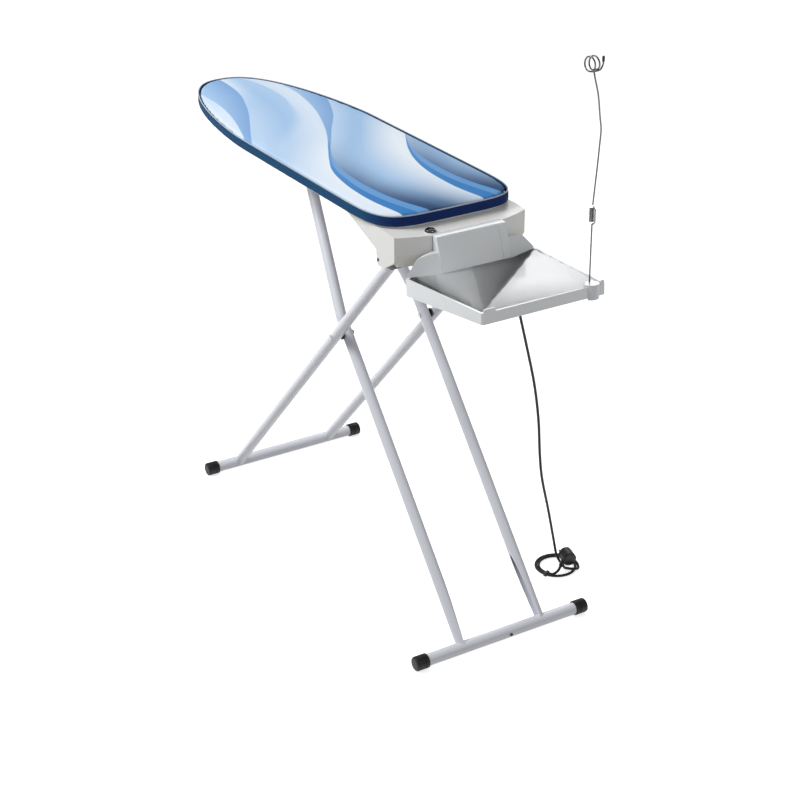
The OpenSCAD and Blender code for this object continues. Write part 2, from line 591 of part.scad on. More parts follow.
// raised corner of the front wall between y0 and y1
module ear(y0, y1) translate([tray_length - 3, 0, 0]) rotate([90, 0, 90]) linear_extrude(3)
  polygon([[y0, -6], [y0, 5], [y0 + 2.5, 8], [y1 - 2.5, 8], [y1, 5], [y1, -6]]);
module tray_dish() color(white) tray_place() difference() {
  union() {
    // walls that grow shallower towards the front
    intersection() {
      slab(-tray_wall - 2, 0) tray_plan(0);
      side(-tray_half - 2, tray_half + 2, [[-20, 1], [-20, 14 - tray_wall], [2, 2 - tray_wall],
        [14, -tray_wall],
        [tray_length + 1, 14 - tray_wall], [tray_length + 1, 1]]);
    }
    both() difference() { wing(0); wing(wall); }
    ear(4 - tray_front_half, 34 - tray_front_half);
    ear(tray_front_half - 13.5, tray_front_half - 4);
  }
  // open underneath
  slab(-tray_wall - 1, plate_low) tray_plan(-wall);
  // sunken floor
  slab(-floor_drop, 0.1) difference() {
    intersection() { tray_plan(-5.5); translate([-20, -200]) square([tray_length + 16.5, 400]); }
    both() translate([crease_x, neck_half]) rotate([0, 0, sweep_angle])
      translate([-60, -40]) square([60, 160]);
  }
  // pockets under the neck's foot and under the clip
  translate([10, -neck_half - 0.3, pocket_z]) cube([crease_x + 5.2, 2 * neck_half + 0.6, 60]);
  translate([tray_length - 24, clip_y - 18.6, pocket_z]) cube([21, 37.2, 6]);
  for (y = tray_screw_ys) translate([screw_x, y, -12]) cylinder(h = 12, r = 1.8, $fn = 24);
}
// profile of the neck's panel, its front set back by d
function neck_profile(d) = [[notch_x + 0.6, deck_z - 0.5], [tray_x - 2 - d, deck_z - 0.5],
  [tray_x - d, deck_z - 3], [tray_x + crease_x + 0.2 - d, tray_z - 3.1],
  [tray_x + crease_x - 3.2, tray_z - 3.1], [tray_x - 3.4, deck_z - 4], [notch_x + 0.6, deck_z - 4]];
module tray_neck() color(white) difference() {
  union() {
    // panel with two raised borders
    side(-neck_half, neck_half, neck_profile(1.4));
    both() side(-neck_half, -neck_half + 20, neck_profile(0));
    // flanks
    both() side(-neck_half, -neck_half + wall, [[notch_x + 0.6, deck_z - 1], [tray_x - 1, deck_z - 1],
      [tray_x + crease_x - 1, tray_z - 2.6], [tray_x - 8, tray_z - 2.6], [tray_x - 16, tray_z + 12],
      [tray_x - 17, deck_z - 41], [notch_x + 0.6, deck_z - 32]]);
    for (s = [-1, 1]) {
      // tongues that drop into the hanger, and their webs
      bx([notch_x + 4.6, s * tongue_y - 12, deck_z - 56], [notch_x + 8.4, s * tongue_y + 12, deck_z - 3]);
      bx([notch_x + 8, s * tongue_y - 1.5, deck_z - 38], [notch_x + 22, s * tongue_y + 1.5, deck_z - 3]);
    }
    // foot that the dish is screwed to
    tray_place()
      bx([crease_x - 2, 6 - neck_half, pocket_z + 0.1], [crease_x + 14, neck_half - 6, pocket_z + 2.1]);
  }
  tray_place() for (y = tray_screw_ys) translate([screw_x, y, -8]) cylinder(h = 12, r = 1.8, $fn = 24);
}
module tray_screws() color(steel) tray_place() for (y = tray_screw_ys) translate([screw_x, y, plate_low]) {
  translate([0, 0, -2.1]) cylinder(h = 2, r = 3.4, $fn = 24);
  translate([0, 0, -0.2]) cylinder(h = 5, r = 1.6, $fn = 24);
}
// D-shaped plan of the clip from x0 outwards
module clip_plan(x0) intersection() {
  circle(r = clip_r, $fn = 64);
  translate([x0, -clip_r]) square(2 * clip_r);
}
module holder_clip() color([0.86, 0.87, 0.88]) difference() {
  translate([clip_x, clip_y, clip_z]) rotate([0, -tray_tilt, 0]) {
    slab(0.1, 4) clip_plan(-3.2);
    slab(10 - tray_wall, 0.2) clip_plan(9.1);
    bx([-13, -10, pocket_z + 0.1], [-3, 12, 4]);
  }
  translate([wire_x, clip_y, clip_z - 2.5]) cylinder(h = 20, r = wire_r + 0.05, $fn = 24);
}

// ---------------------------------------------------------------- cord holder
module lower_wire() color(dark_wire) {
  translate([wire_x, clip_y, clip_z - 1.8]) cylinder(h = spring_z - clip_z - 2.4, r = wire_r, $fn = 16);
  // the bent end that the spring sits on
  translate([wire_x, clip_y, spring_z])
    sweep([[0, 0, -5], [0, 0, -3.2], [1.2, 0, -2], [spring_r - 2.4, 0, -1.7], [spring_r, 0, -1.9]],
      wire_r * 0.99, 12);
}
module flex_spring() color(dark_wire) {
  steps = 14;
  n = spring_turns * steps;
  rise = (spring_h - 2 * wire_r - 4) / n;
  coil = [for (i = [0 : n]) let (a = i * 360 / steps)
    [spring_r * cos(a), spring_r * sin(a), wire_r + 0.3 + i * rise]];
  end = [[3.6, 2, spring_h - wire_r - 1.4], [0.4, 0.2, spring_h - wire_r - 0.8]];
  translate([wire_x, clip_y, spring_z]) sweep(concat(coil, end), wire_r * 0.95, 10);
}
// a rod with a gentle double bend, two loops for the iron's lead, and a hooked end
module upper_wire() color(dark_wire) {
  translate([wire_x, clip_y, hinge_top]) sphere(r = wire_r, $fn = 24);
  stretch = upper_rod / 300;
  rise = smooth([for (p = [[0, 0, 0], [0, 3, 34], [0, 7, 78], [0, 11, 130], [0, 13, 164], [0, 9, 190],
    [0, 2, 238], [-3, -6, 275], [-7, -7, 290]])
    [wire_x + p[0], clip_y + p[1], hinge_top + p[2] * stretch]], 3);
  turns = [for (i = [0 : 40]) let (a = i * 18 - 90)
    [wire_x + loop_r * cos(a), clip_y - 6 - 22 * i / 40, loop_z + loop_r * sin(a)]];
  hook = [for (p = [[5, -27.6, -14.6], [9, -22, -15.2], [8.6, -12, -15.6], [6, -1, -15], [3, 6, -11],
    [1, 10, -6], [0.4, 11, -1]]) [wire_x + p[0], clip_y + p[1], loop_z + p[2]]];
  sweep(concat(rise, turns, hook), wire_r, 10);
}
module wire_tip() color(black) translate([wire_x + 0.2, clip_y + 11, loop_z - 0.8]) {
  cylinder(h = 9, r = 2.9, $fn = 24);
  translate([0, 0, 9]) sphere(r = 2.9, $fn = 24);
}

// ---------------------------------------------------------------- mains cord
// hangs from the housing's far corner, lands inside its own coil and ends in a two-pin plug
cord_r = 3.5;
coil_x = end_x - 5;
coil_y = 306;
coil_r = 56;
coil_pitch = 7.3;
coil_z = cord_r + 1.1;
coil_start = 60;
coil_sweep = 610;
// depths below the pan, stretched so that the cord always reaches the floor
hang = (pan_z - 31) / 905;
drop = [for (p = [[0, 0, 6], [0, 1, 60], [-3, 30, 160], [-6, 65, 290], [-7, 92, 400], [-6, 107, 500],
  [-5, 114, 600], [-5, 123, 670], [-8, 148, 770], [-9, 168, 860], [-8, 177, 905]])
  [p[0], p[1], pan_z - p[2] * hang]];
landing = [[-11, 17, 9], [-3, 18, 5.2], [10, 15, coil_z], [22, 11, 5.6], [33, 10, 10.5], [43, 16, 12],
  [47, 28, 10.4], [40, 41, 6]];
coil_turns = [for (t = [10 : 24 : coil_sweep]) let (a = coil_start + t, r = coil_r - coil_pitch * t / 360)
  [r * cos(a), r * sin(a), coil_z]];
to_plug = [[31, -26, 6], [31, -16, 11], [27, -7, 17], [22, 1, 22]];
function moved(x, y, list) = [for (p = list) [x + p[0], y + p[1], p[2]]];
cord_path = concat(smooth(moved(gl_x, gl_y, drop), 2),
  moved(coil_x, coil_y, concat(landing, coil_turns, to_plug)));
module power_cord() color(black) sweep(cord_path, cord_r, 8);
plug_r = 18.4;
plug_at = [coil_x + 8, coil_y + 28, 28];
module plug_frame() translate(plug_at) rotate([0, 0, 165]) children();
module plug_body() color(black) difference() {
  union() {
    plug_frame() rotate([0, 90, 0]) {
      translate([0, 0, -17]) cylinder(h = 32, r = plug_r, $fn = 48);
      translate([0, 0, -20]) cylinder(h = 3.1, r1 = 14, r2 = plug_r, $fn = 48);
    }
    // strain relief over the cord's end
    seg([coil_x + 25.5, coil_y - 4, 18.7], [coil_x + 12, coil_y + 18, 28], 6, 32);
  }
  seg([coil_x + 27, coil_y - 7, 17], [coil_x + 21, coil_y + 2.5, 23], cord_r + 0.3, 32);
}
module plug_pins() color([0.78, 0.62, 0.30]) plug_frame() for (y = [-9.5, 9.5])
  translate([15.02, y, 0]) rotate([0, 90, 0]) cylinder(h = 19, r = 2.4, $fn = 24);
module cord_tie() color(black) translate([coil_x, coil_y, 0]) rotate([0, 0, -67]) difference() {
  bx([38.6, -4, 0.05], [56.2, 4, 9.2]);
  bx([39.7, -5, 1], [55.1, 5, 8.25]);
}

// ---------------------------------------------------------------- show
translate([-mid_x, 0, 0]) {
  board_shell();
  perforated_plate();
  foam_pad();
  cover_top();
  cover_band();
  cover_piping();
  housing_upper();
  housing_pan();
  housing_screws();
  flange_screws();
  knob_seat();
  knob();
  fan_motor();
  fan_scroll();
  impeller();
  control_board();
  cable_gland();
  tray_hanger();
  pivot_brackets();
  pivot_bolts();
  guide_rails();
  rail_screws();
  lever_bracket();
  lever_pin();
  release_lever();
  lever_spring();
  outer_tubes();
  outer_bar();
  outer_caps();
  outer_bushings();
  cross_rivets();
  inner_tubes();
  inner_bar();
  inner_caps();
  slide_axles();
  inner_rollers();
  inner_plugs();
  cross_spacers();
  bar_plug();
  tray_dish();
  tray_neck();
  tray_screws();
  holder_clip();
  lower_wire();
  flex_spring();
  upper_wire();
  wire_tip();
  power_cord();
  plug_body();
  plug_pins();
  cord_tie();
}
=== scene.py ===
"""Looks of an air-assisted ironing board: cover, housing, tray, cord holder, legs, lead and stage.

Everything is in metres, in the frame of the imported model: +X runs from the nose to the tray,
-Y is the side towards the viewer, +Z is up, and the floor is at zero.
"""

import json
import math

import bmesh
import bpy
from bpy.props import FloatProperty, FloatVectorProperty, PointerProperty
from mathutils import Matrix, Vector, noise


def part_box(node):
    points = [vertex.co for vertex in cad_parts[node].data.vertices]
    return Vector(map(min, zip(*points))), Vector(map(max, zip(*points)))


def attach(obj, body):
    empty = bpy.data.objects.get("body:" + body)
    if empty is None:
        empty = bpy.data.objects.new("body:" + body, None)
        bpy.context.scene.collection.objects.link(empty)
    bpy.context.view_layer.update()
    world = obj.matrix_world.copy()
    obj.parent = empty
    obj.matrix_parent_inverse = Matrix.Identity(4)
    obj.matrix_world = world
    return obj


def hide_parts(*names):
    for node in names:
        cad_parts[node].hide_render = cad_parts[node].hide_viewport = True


bl_info = {
    "name": "Ironing Board",
    "version": (1, 0, 0),
    "blender": (4, 5, 0),
    "location": "3D View > Sidebar > Ironing Board",
    "description": "Builds the cover, housing, tray, cord holder, legs and lead of an ironing board",
    "category": "Object",
}

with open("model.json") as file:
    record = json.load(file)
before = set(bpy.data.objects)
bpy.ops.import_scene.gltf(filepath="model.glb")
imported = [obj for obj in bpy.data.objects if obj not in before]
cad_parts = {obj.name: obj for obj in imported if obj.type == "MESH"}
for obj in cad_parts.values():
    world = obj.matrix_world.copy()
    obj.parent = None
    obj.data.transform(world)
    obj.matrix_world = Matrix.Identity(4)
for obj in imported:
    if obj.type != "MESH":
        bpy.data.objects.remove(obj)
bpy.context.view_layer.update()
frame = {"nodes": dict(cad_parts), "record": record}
BODY_OF = {node: body for body, nodes in frame["record"]["behaviour"]["bodies"].items() for node in nodes}
MM = 0.001

# The ironing surface, from the band that runs round it.
BAND_LOW, BAND_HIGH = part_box("cover_band")
SURFACE_LENGTH = BAND_HIGH.x - BAND_LOW.x
SURFACE_WIDTH = BAND_HIGH.y - BAND_LOW.y
SURFACE_MIDDLE = (BAND_LOW.x + BAND_HIGH.x) / 2
SURFACE_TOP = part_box("cover_top")[1].z
NOSE_LENGTH = 0.505
TAIL_LENGTH = 0.221


# ------------------------------------------------------------------ colours and shader sums


def colour(code):
    """Linear red, green, blue and alpha of a web colour such as 8FB0DB."""
    parts = [int(code[i : i + 2], 16) / 255 for i in (0, 2, 4)]
    linear = [c / 12.92 if c <= 0.04045 else ((c + 0.055) / 1.055) ** 2.4 for c in parts]
    return (*linear, 1.0)


class Tone:
    """One shader socket that takes part in Python arithmetic."""

    def __init__(self, tree, socket):
        self.tree = tree
        self.socket = socket

    def math(self, operation, *values, clamp=False):
        node = self.tree.nodes.new("ShaderNodeMath")
        node.operation = operation
        node.use_clamp = clamp
        for place, value in enumerate(values):
            feed(self.tree, node.inputs[place], value)
        return Tone(self.tree, node.outputs[0])

    def __add__(self, other):
        return self.math("ADD", self, other)

    def __radd__(self, other):
        return self.math("ADD", other, self)

    def __sub__(self, other):
        return self.math("SUBTRACT", self, other)

    def __rsub__(self, other):
        return self.math("SUBTRACT", other, self)

    def __mul__(self, other):
        return self.math("MULTIPLY", self, other)

    def __rmul__(self, other):
        return self.math("MULTIPLY", other, self)

    def __truediv__(self, other):
        return self.math("DIVIDE", self, other)

    def __pow__(self, other):
        return self.math("POWER", self, other)

    def __abs__(self):
        return self.math("ABSOLUTE", self)

    def sine(self):
        return self.math("SINE", self)


def feed(tree, socket, value):
    """Links a tone to a socket, or sets the socket's own value."""
    if isinstance(value, Tone):
        tree.links.new(value.socket, socket)
    else:
        socket.default_value = value


class Finish:
    """A material around one Principled shader, with short calls for the nodes that feed it."""

    def __init__(self, name, **constants):
        self.material = bpy.data.materials.new(name)
        self.material.use_nodes = True
        self.tree = self.material.node_tree
        self.shader = self.tree.nodes["Principled BSDF"]
        for socket, value in constants.items():
            self.shader.inputs[socket.replace("_", " ")].default_value = value
        coordinates = self.tree.nodes.new("ShaderNodeTexCoord")
        self.place = Tone(self.tree, coordinates.outputs["Object"])

    def node(self, kind, settings=None, inputs=None, output=0):
        """Any node: its settings first, then the values or links of its sockets."""
        node = self.tree.nodes.new(kind)
        for name, value in (settings or {}).items():
            setattr(node, name, value)
        for name, value in (inputs or {}).items():
            feed(self.tree, node.inputs[name], value)
        return Tone(self.tree, node.outputs[output])

    def axes(self, place=None):
        """The X, Y and Z of a point."""
        node = self.tree.nodes.new("ShaderNodeSeparateXYZ")
        feed(self.tree, node.inputs[0], place or self.place)
        return [Tone(self.tree, socket) for socket in node.outputs]

    def moved(self, location=(0, 0, 0), rotation=(0, 0, 0), scale=(1, 1, 1)):
        """Object coordinates, centred, turned or stretched on the piece."""
        inputs = {"Vector": self.place, "Location": location, "Rotation": rotation, "Scale": scale}
        return self.node("ShaderNodeMapping", {"vector_type": "POINT"}, inputs)

    def noise(self, scale, detail=2.0, roughness=0.5, place=None):
        inputs = {"Vector": place or self.place, "Scale": scale, "Detail": detail, "Roughness": roughness}
        return self.node("ShaderNodeTexNoise", None, inputs)

    def step(self, value, start, end):
        """Zero before start, one after end, with a smooth rise between."""
        inputs = {"Value": value, "From Min": start, "From Max": end}
        return self.node("ShaderNodeMapRange", {"interpolation_type": "SMOOTHSTEP"}, inputs)

    def ramp(self, value, stops):
        """Colours along a value; stops are (place, web colour) pairs."""
        node = self.tree.nodes.new("ShaderNodeValToRGB")
        elements = node.color_ramp.elements
        while len(elements) < len(stops):
            elements.new(1.0)
        for element, (place, code) in zip(elements, stops):
            element.position = place
            element.color = colour(code)
        feed(self.tree, node.inputs[0], value)
        return Tone(self.tree, node.outputs[0])

    def line(self, value, stops, low, high):
        """A smooth curve through (value, result) pairs, both in the same unit, kept between low and high."""
        node = self.tree.nodes.new("ShaderNodeFloatCurve")
        curve = node.mapping.curves[0]
        first, last = stops[0][0], stops[-1][0]
        spots = [((at - first) / (last - first), (result - low) / (high - low)) for at, result in stops]
        curve.points[0].location = spots[0]
        curve.points[1].location = spots[-1]
        for spot in spots[1:-1]:
            curve.points.new(*spot)
        node.mapping.update()
        feed(self.tree, node.inputs["Value"], (value - first) / (last - first))
        return Tone(self.tree, node.outputs[0]) * (high - low) + low

    def mix(self, factor, one, other, blend="MIX"):
        """Colour one where factor is zero, the other where it is one."""
        settings = {"data_type": "RGBA", "blend_type": blend}
        return self.node("ShaderNodeMix", settings, {0: factor, 6: one, 7: other}, 2)

    def bump(self, height, distance, strength=1.0, under=None):
        inputs = {"Height": height, "Distance": distance, "Strength": strength}
        if under is not None:
            inputs["Normal"] = under
        return self.node("ShaderNodeBump", None, inputs)

    def paint(self, **sockets):
        """Feeds the shader's varying sockets."""
        for name, value in sockets.items():
            feed(self.tree, self.shader.inputs[name.replace("_", " ")], value)
        return self.material


# ------------------------------------------------------------------ meshes


def settled(bm):
    """Merges doubles and points every face outwards."""
    bmesh.ops.remove_doubles(bm, verts=bm.verts, dist=1e-6)
    bmesh.ops.recalc_face_normals(bm, faces=bm.faces)
    return bm


def piece(name, bm, body, slot, material, *nodes, smooth_angle=35):
    """Turns a bmesh into an object that rides on a body and stands for CAD nodes."""
    mesh = bpy.data.meshes.new(name)
    bm.to_mesh(mesh)
    bm.free()
    obj = bpy.data.objects.new(name, mesh)
    bpy.context.scene.collection.objects.link(obj)
    dress(obj, body, slot, material, *nodes, smooth_angle=smooth_angle)
    return obj


def dress(obj, body, slot, material, *nodes, smooth_angle=35):
    """Gives a finished object its material, body and the nodes that it stands for; the slot is not used."""
    obj.data.materials.clear()
    obj.data.materials.append(material)
    shade(obj, smooth_angle)
    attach(obj, body)
    if nodes:
        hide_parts(*nodes)


def shade(obj, angle):
    """Smooth shading with edges sharper than angle, in degrees, kept crisp."""
    mesh = obj.data
    mesh.shade_smooth()
    bm = bmesh.new()
    bm.from_mesh(mesh)
    limit = math.radians(angle)
    for edge in bm.edges:
        edge.smooth = len(edge.link_faces) != 2 or edge.calc_face_angle(0) < limit
    bm.to_mesh(mesh)
    bm.free()


def applied(obj):
    """The object's mesh with its modifiers applied and none left."""
    graph = bpy.context.evaluated_depsgraph_get()
    mesh = bpy.data.meshes.new_from_object(obj.evaluated_get(graph), depsgraph=graph)
    obj.modifiers.clear()
    old = obj.data
    obj.data = mesh
    bpy.data.meshes.remove(old)
    return obj


def bevelled(bm, width, segments=3, angle=30):
    """Rounds every edge that is sharper than angle."""
    limit = math.radians(angle)
    sharp = [e for e in bm.edges if len(e.link_faces) == 2 and e.calc_face_angle(0) > limit]
    options = {"affect": "EDGES", "segments": segments, "profile": 0.5, "material": -1, "clamp_overlap": True}
    bmesh.ops.bevel(bm, geom=sharp, offset=width, **options)
    return bm


# Flat walls meet at crisp lines: only edges softer than this many degrees are shaded smooth.
FLAT_ANGLE = 12


def rounded_copy(node, width, segments=3):
    """A copy of a CAD node with its flats merged and its edges rounded."""
    bm = bmesh.new()
    bm.from_mesh(frame["nodes"][node].data)
    bmesh.ops.remove_doubles(bm, verts=bm.verts, dist=1e-6)
    bmesh.ops.dissolve_limit(bm, angle_limit=math.radians(1.0), verts=bm.verts, edges=bm.edges)
    return bevelled(bm, width, segments)


def lathe(profile, centre, axis="Z", steps=48):
    """Spins a profile of (radius, height) pairs once round an axis through centre."""
    bm = bmesh.new()
    verts = [bm.verts.new((radius, 0, height)) for radius, height in profile]
    edges = [bm.edges.new(pair) for pair in zip(verts, verts[1:])]
    options = {"cent": (0, 0, 0), "axis": (0, 0, 1), "dvec": (0, 0, 0), "angle": 2 * math.pi}
    bmesh.ops.spin(bm, geom=verts + edges, steps=steps, use_merge=True, use_duplicate=False, **options)
    quarter = math.radians(90)
    turn = {"Z": Matrix(), "Y": Matrix.Rotation(-quarter, 4, "X"), "X": Matrix.Rotation(quarter, 4, "Y")}
    bmesh.ops.transform(bm, matrix=Matrix.Translation(centre) @ turn[axis], verts=bm.verts)
    return settled(bm)


def tube(name, points, radius, closed=False, resolution=6, caps=True):
    """A round tube along points, as a curve object."""
    curve = bpy.data.curves.new(name, "CURVE")
    curve.dimensions = "3D"
    curve.bevel_depth = radius
    curve.bevel_resolution = resolution
    curve.use_fill_caps = caps and not closed
    spline = curve.splines.new("POLY")
    spline.points.add(len(points) - 1)
    for point, at in zip(spline.points, points):
        point.co = (*at, 1.0)
    spline.use_cyclic_u = closed
    spline.use_smooth = True
    obj = bpy.data.objects.new(name, curve)
    bpy.context.scene.collection.objects.link(obj)
    return obj


def tube_mesh(name, points, radius, closed=False, resolution=6):
    """The same tube, made a mesh."""
    obj = tube(name, points, radius, closed, resolution)
    graph = bpy.context.evaluated_depsgraph_get()
    mesh = bpy.data.meshes.new_from_object(obj.evaluated_get(graph), depsgraph=graph)
    bpy.data.objects.remove(obj)
    mesh.name = name
    bm = bmesh.new()
    bm.from_mesh(mesh)
    bpy.data.meshes.remove(mesh)
    return settled(bm)


def smooth_path(points, parts):
    """Points of a smooth curve through given points."""
    path = []
    for i in range(len(points) - 1):
        a, b = Vector(points[max(i - 1, 0)]), Vector(points[i])
        c, d = Vector(points[i + 1]), Vector(points[min(i + 2, len(points) - 1)])
        for j in range(parts):
            t = j / parts
            bend = 2 * a - 5 * b + 4 * c - d
            twist = 3 * b - a - 3 * c + d
            path.append(0.5 * (2 * b + (c - a) * t + bend * t * t + twist * t**3))
    path.append(Vector(points[-1]))
    return path


def outline(grow=0.0, nose_steps=44, tail_steps=26):
    """The ironing surface's outline, grown by a distance: a rounded nose, straight sides, a squarer tail."""
    half_length, half_width = SURFACE_LENGTH / 2, SURFACE_WIDTH / 2
    half = []
    for i in range(nose_steps + 1):
        w = math.sin(math.pi / 2 * i / nose_steps)
        reach = (NOSE_LENGTH + grow) * (1 - max(0.0, 1 - w**2.5) ** (2 / 3))
        half.append((-half_length - grow + reach, -(half_width + grow) * w))
    straight = half_length - TAIL_LENGTH - half[-1][0]
    for i in range(1, 8):
        half.append((half[nose_steps][0] + straight * i / 8, -(half_width + grow)))
    for i in range(tail_steps + 1):
        a = math.pi / 2 * i / tail_steps
        reach = (TAIL_LENGTH + grow) * math.sin(a) ** 0.45
        half.append((half_length - TAIL_LENGTH + reach, -(half_width + grow) * max(0.0, math.cos(a)) ** 0.37))
    full = half + [(x, -y) for x, y in reversed(half[1:-1])]
    return evened([(SURFACE_MIDDLE + x, y) for x, y in full], 0.006)


def evened(ring, spacing):
    """A closed ring of points with even gaps."""
    gaps = [math.dist(ring[i], ring[(i + 1) % len(ring)]) for i in range(len(ring))]
    count = round(sum(gaps) / spacing)
    result, at, i = [], 0.0, 0
    for k in range(count):
        want = sum(gaps) * k / count
        while at + gaps[i] < want:
            at += gaps[i]
            i += 1
        share = (want - at) / gaps[i] if gaps[i] else 0.0
        one, other = ring[i], ring[(i + 1) % len(ring)]
        result.append((one[0] + (other[0] - one[0]) * share, one[1] + (other[1] - one[1]) * share))
    return result


# ------------------------------------------------------------------ fabric


# Edges of the printed waves: distance along the board from its middle, and across it.
WAVES = {
    "lens_top": [
        (-0.61, -0.100), (-0.46, -0.111), (-0.385, -0.114), (-0.31, -0.123), (-0.235, -0.139),
        (-0.16, -0.160), (-0.085, -0.184), (0.0, -0.215), (0.61, -0.24),
    ],
    "nose_blue_top": [
        (-0.61, -0.010), (-0.50, -0.014), (-0.42, -0.027), (-0.35, -0.049), (-0.27, -0.079),
        (-0.20, -0.111), (-0.12, -0.149), (-0.04, -0.186), (0.05, -0.23), (0.61, -0.24),
    ],
    "haze": [
        (-0.61, 0.024), (-0.52, 0.058), (-0.43, 0.067), (-0.35, 0.064), (-0.27, 0.046),
        (-0.16, 0.007), (-0.085, -0.048), (-0.02, -0.115), (0.035, -0.175), (0.10, -0.235),
        (0.61, -0.24),
    ],
    "wave_low": [
        (-0.61, 0.105), (-0.50, 0.113), (-0.385, 0.114), (-0.30, 0.103), (-0.20, 0.080),
        (-0.10, 0.046), (0.0, 0.004), (0.10, -0.048), (0.18, -0.089), (0.25, -0.119),
        (0.33, -0.136), (0.40, -0.143), (0.48, -0.143), (0.545, -0.135), (0.61, -0.123),
    ],
    "wave_split": [
        (-0.61, 0.105), (0.06, -0.022), (0.11, -0.048), (0.18, -0.084), (0.25, -0.108),
        (0.33, -0.120), (0.40, -0.124), (0.48, -0.118), (0.545, -0.104), (0.61, -0.083),
    ],
    "wave_top": [
        (-0.61, 0.24), (-0.40, 0.205), (-0.305, 0.168), (-0.22, 0.136), (-0.13, 0.095),
        (-0.04, 0.040), (0.04, -0.006), (0.11, -0.046), (0.18, -0.076), (0.25, -0.094),
        (0.33, -0.102), (0.40, -0.102), (0.48, -0.094), (0.545, -0.078), (0.61, -0.052),
    ],
    "far_low": [
        (-0.61, 0.24), (0.0, 0.23), (0.075, 0.187), (0.14, 0.151), (0.215, 0.114), (0.29, 0.088),
        (0.365, 0.073), (0.44, 0.068), (0.515, 0.071), (0.61, 0.089),
    ],
    "far_split": [
        (-0.61, 0.24), (0.0, 0.23), (0.075, 0.187), (0.14, 0.153), (0.215, 0.121), (0.29, 0.099),
        (0.365, 0.090), (0.44, 0.090), (0.515, 0.102), (0.61, 0.127),
    ],
    "far_top": [
        (-0.61, 0.24), (0.0, 0.23), (0.075, 0.187), (0.14, 0.155), (0.185, 0.136), (0.23, 0.123),
        (0.29, 0.114), (0.365, 0.110), (0.44, 0.112), (0.515, 0.125), (0.61, 0.156),
    ],
}
# The print's dyes, from the palest to the darkest.
DYES = {
    "paper": "E8F0F8",
    "pale": "D6E4F3",
    "mist": "BAD2EC",
    "sky": "A2C3E6",
    "cornflower": "80A8D8",
    "azure": "609AD2",
    "royal": "3A80C2",
    "slate": "5C7AA0",
    "ink": "284870",
}
# How one dye runs into the next with the distance from a wave's edge, as shares of SHADE_REACH.
SHADES = {
    "nose_blue": [(0.0, "cornflower"), (0.4, "sky")],
    "field_near_nose": [(0.1, "pale"), (0.5, "mist")],
    "field_low": [(0.0, "mist"), (0.5, "sky"), (0.9, "mist")],
    "field_right": [(0.0, "paper"), (0.8, "sky")],
    "sky_left": [(0.0, "mist"), (0.28, "sky"), (0.42, "sky"), (0.9, "paper")],
    "sky_middle": [(0.0, "slate"), (0.34, "sky"), (0.9, "paper")],
    "sky_right": [(0.1, "ink"), (0.33, "slate"), (0.78, "pale")],
}
SHADE_REACH = 0.2


def dyed(finish, value, stops):
    """A ramp whose stops name their dyes."""
    return finish.ramp(value, [(place, DYES[dye]) for place, dye in stops])


def weave(finish, spacing, depth):
    """Height of a plain weave: threads that pass over and under each other."""
    x, y, z = finish.axes()
    turn = 2 * math.pi / spacing
    warp = ((x + z * 0.7) * turn).sine()
    weft = ((y + z * 0.7) * turn).sine()
    return (warp * weft) * depth


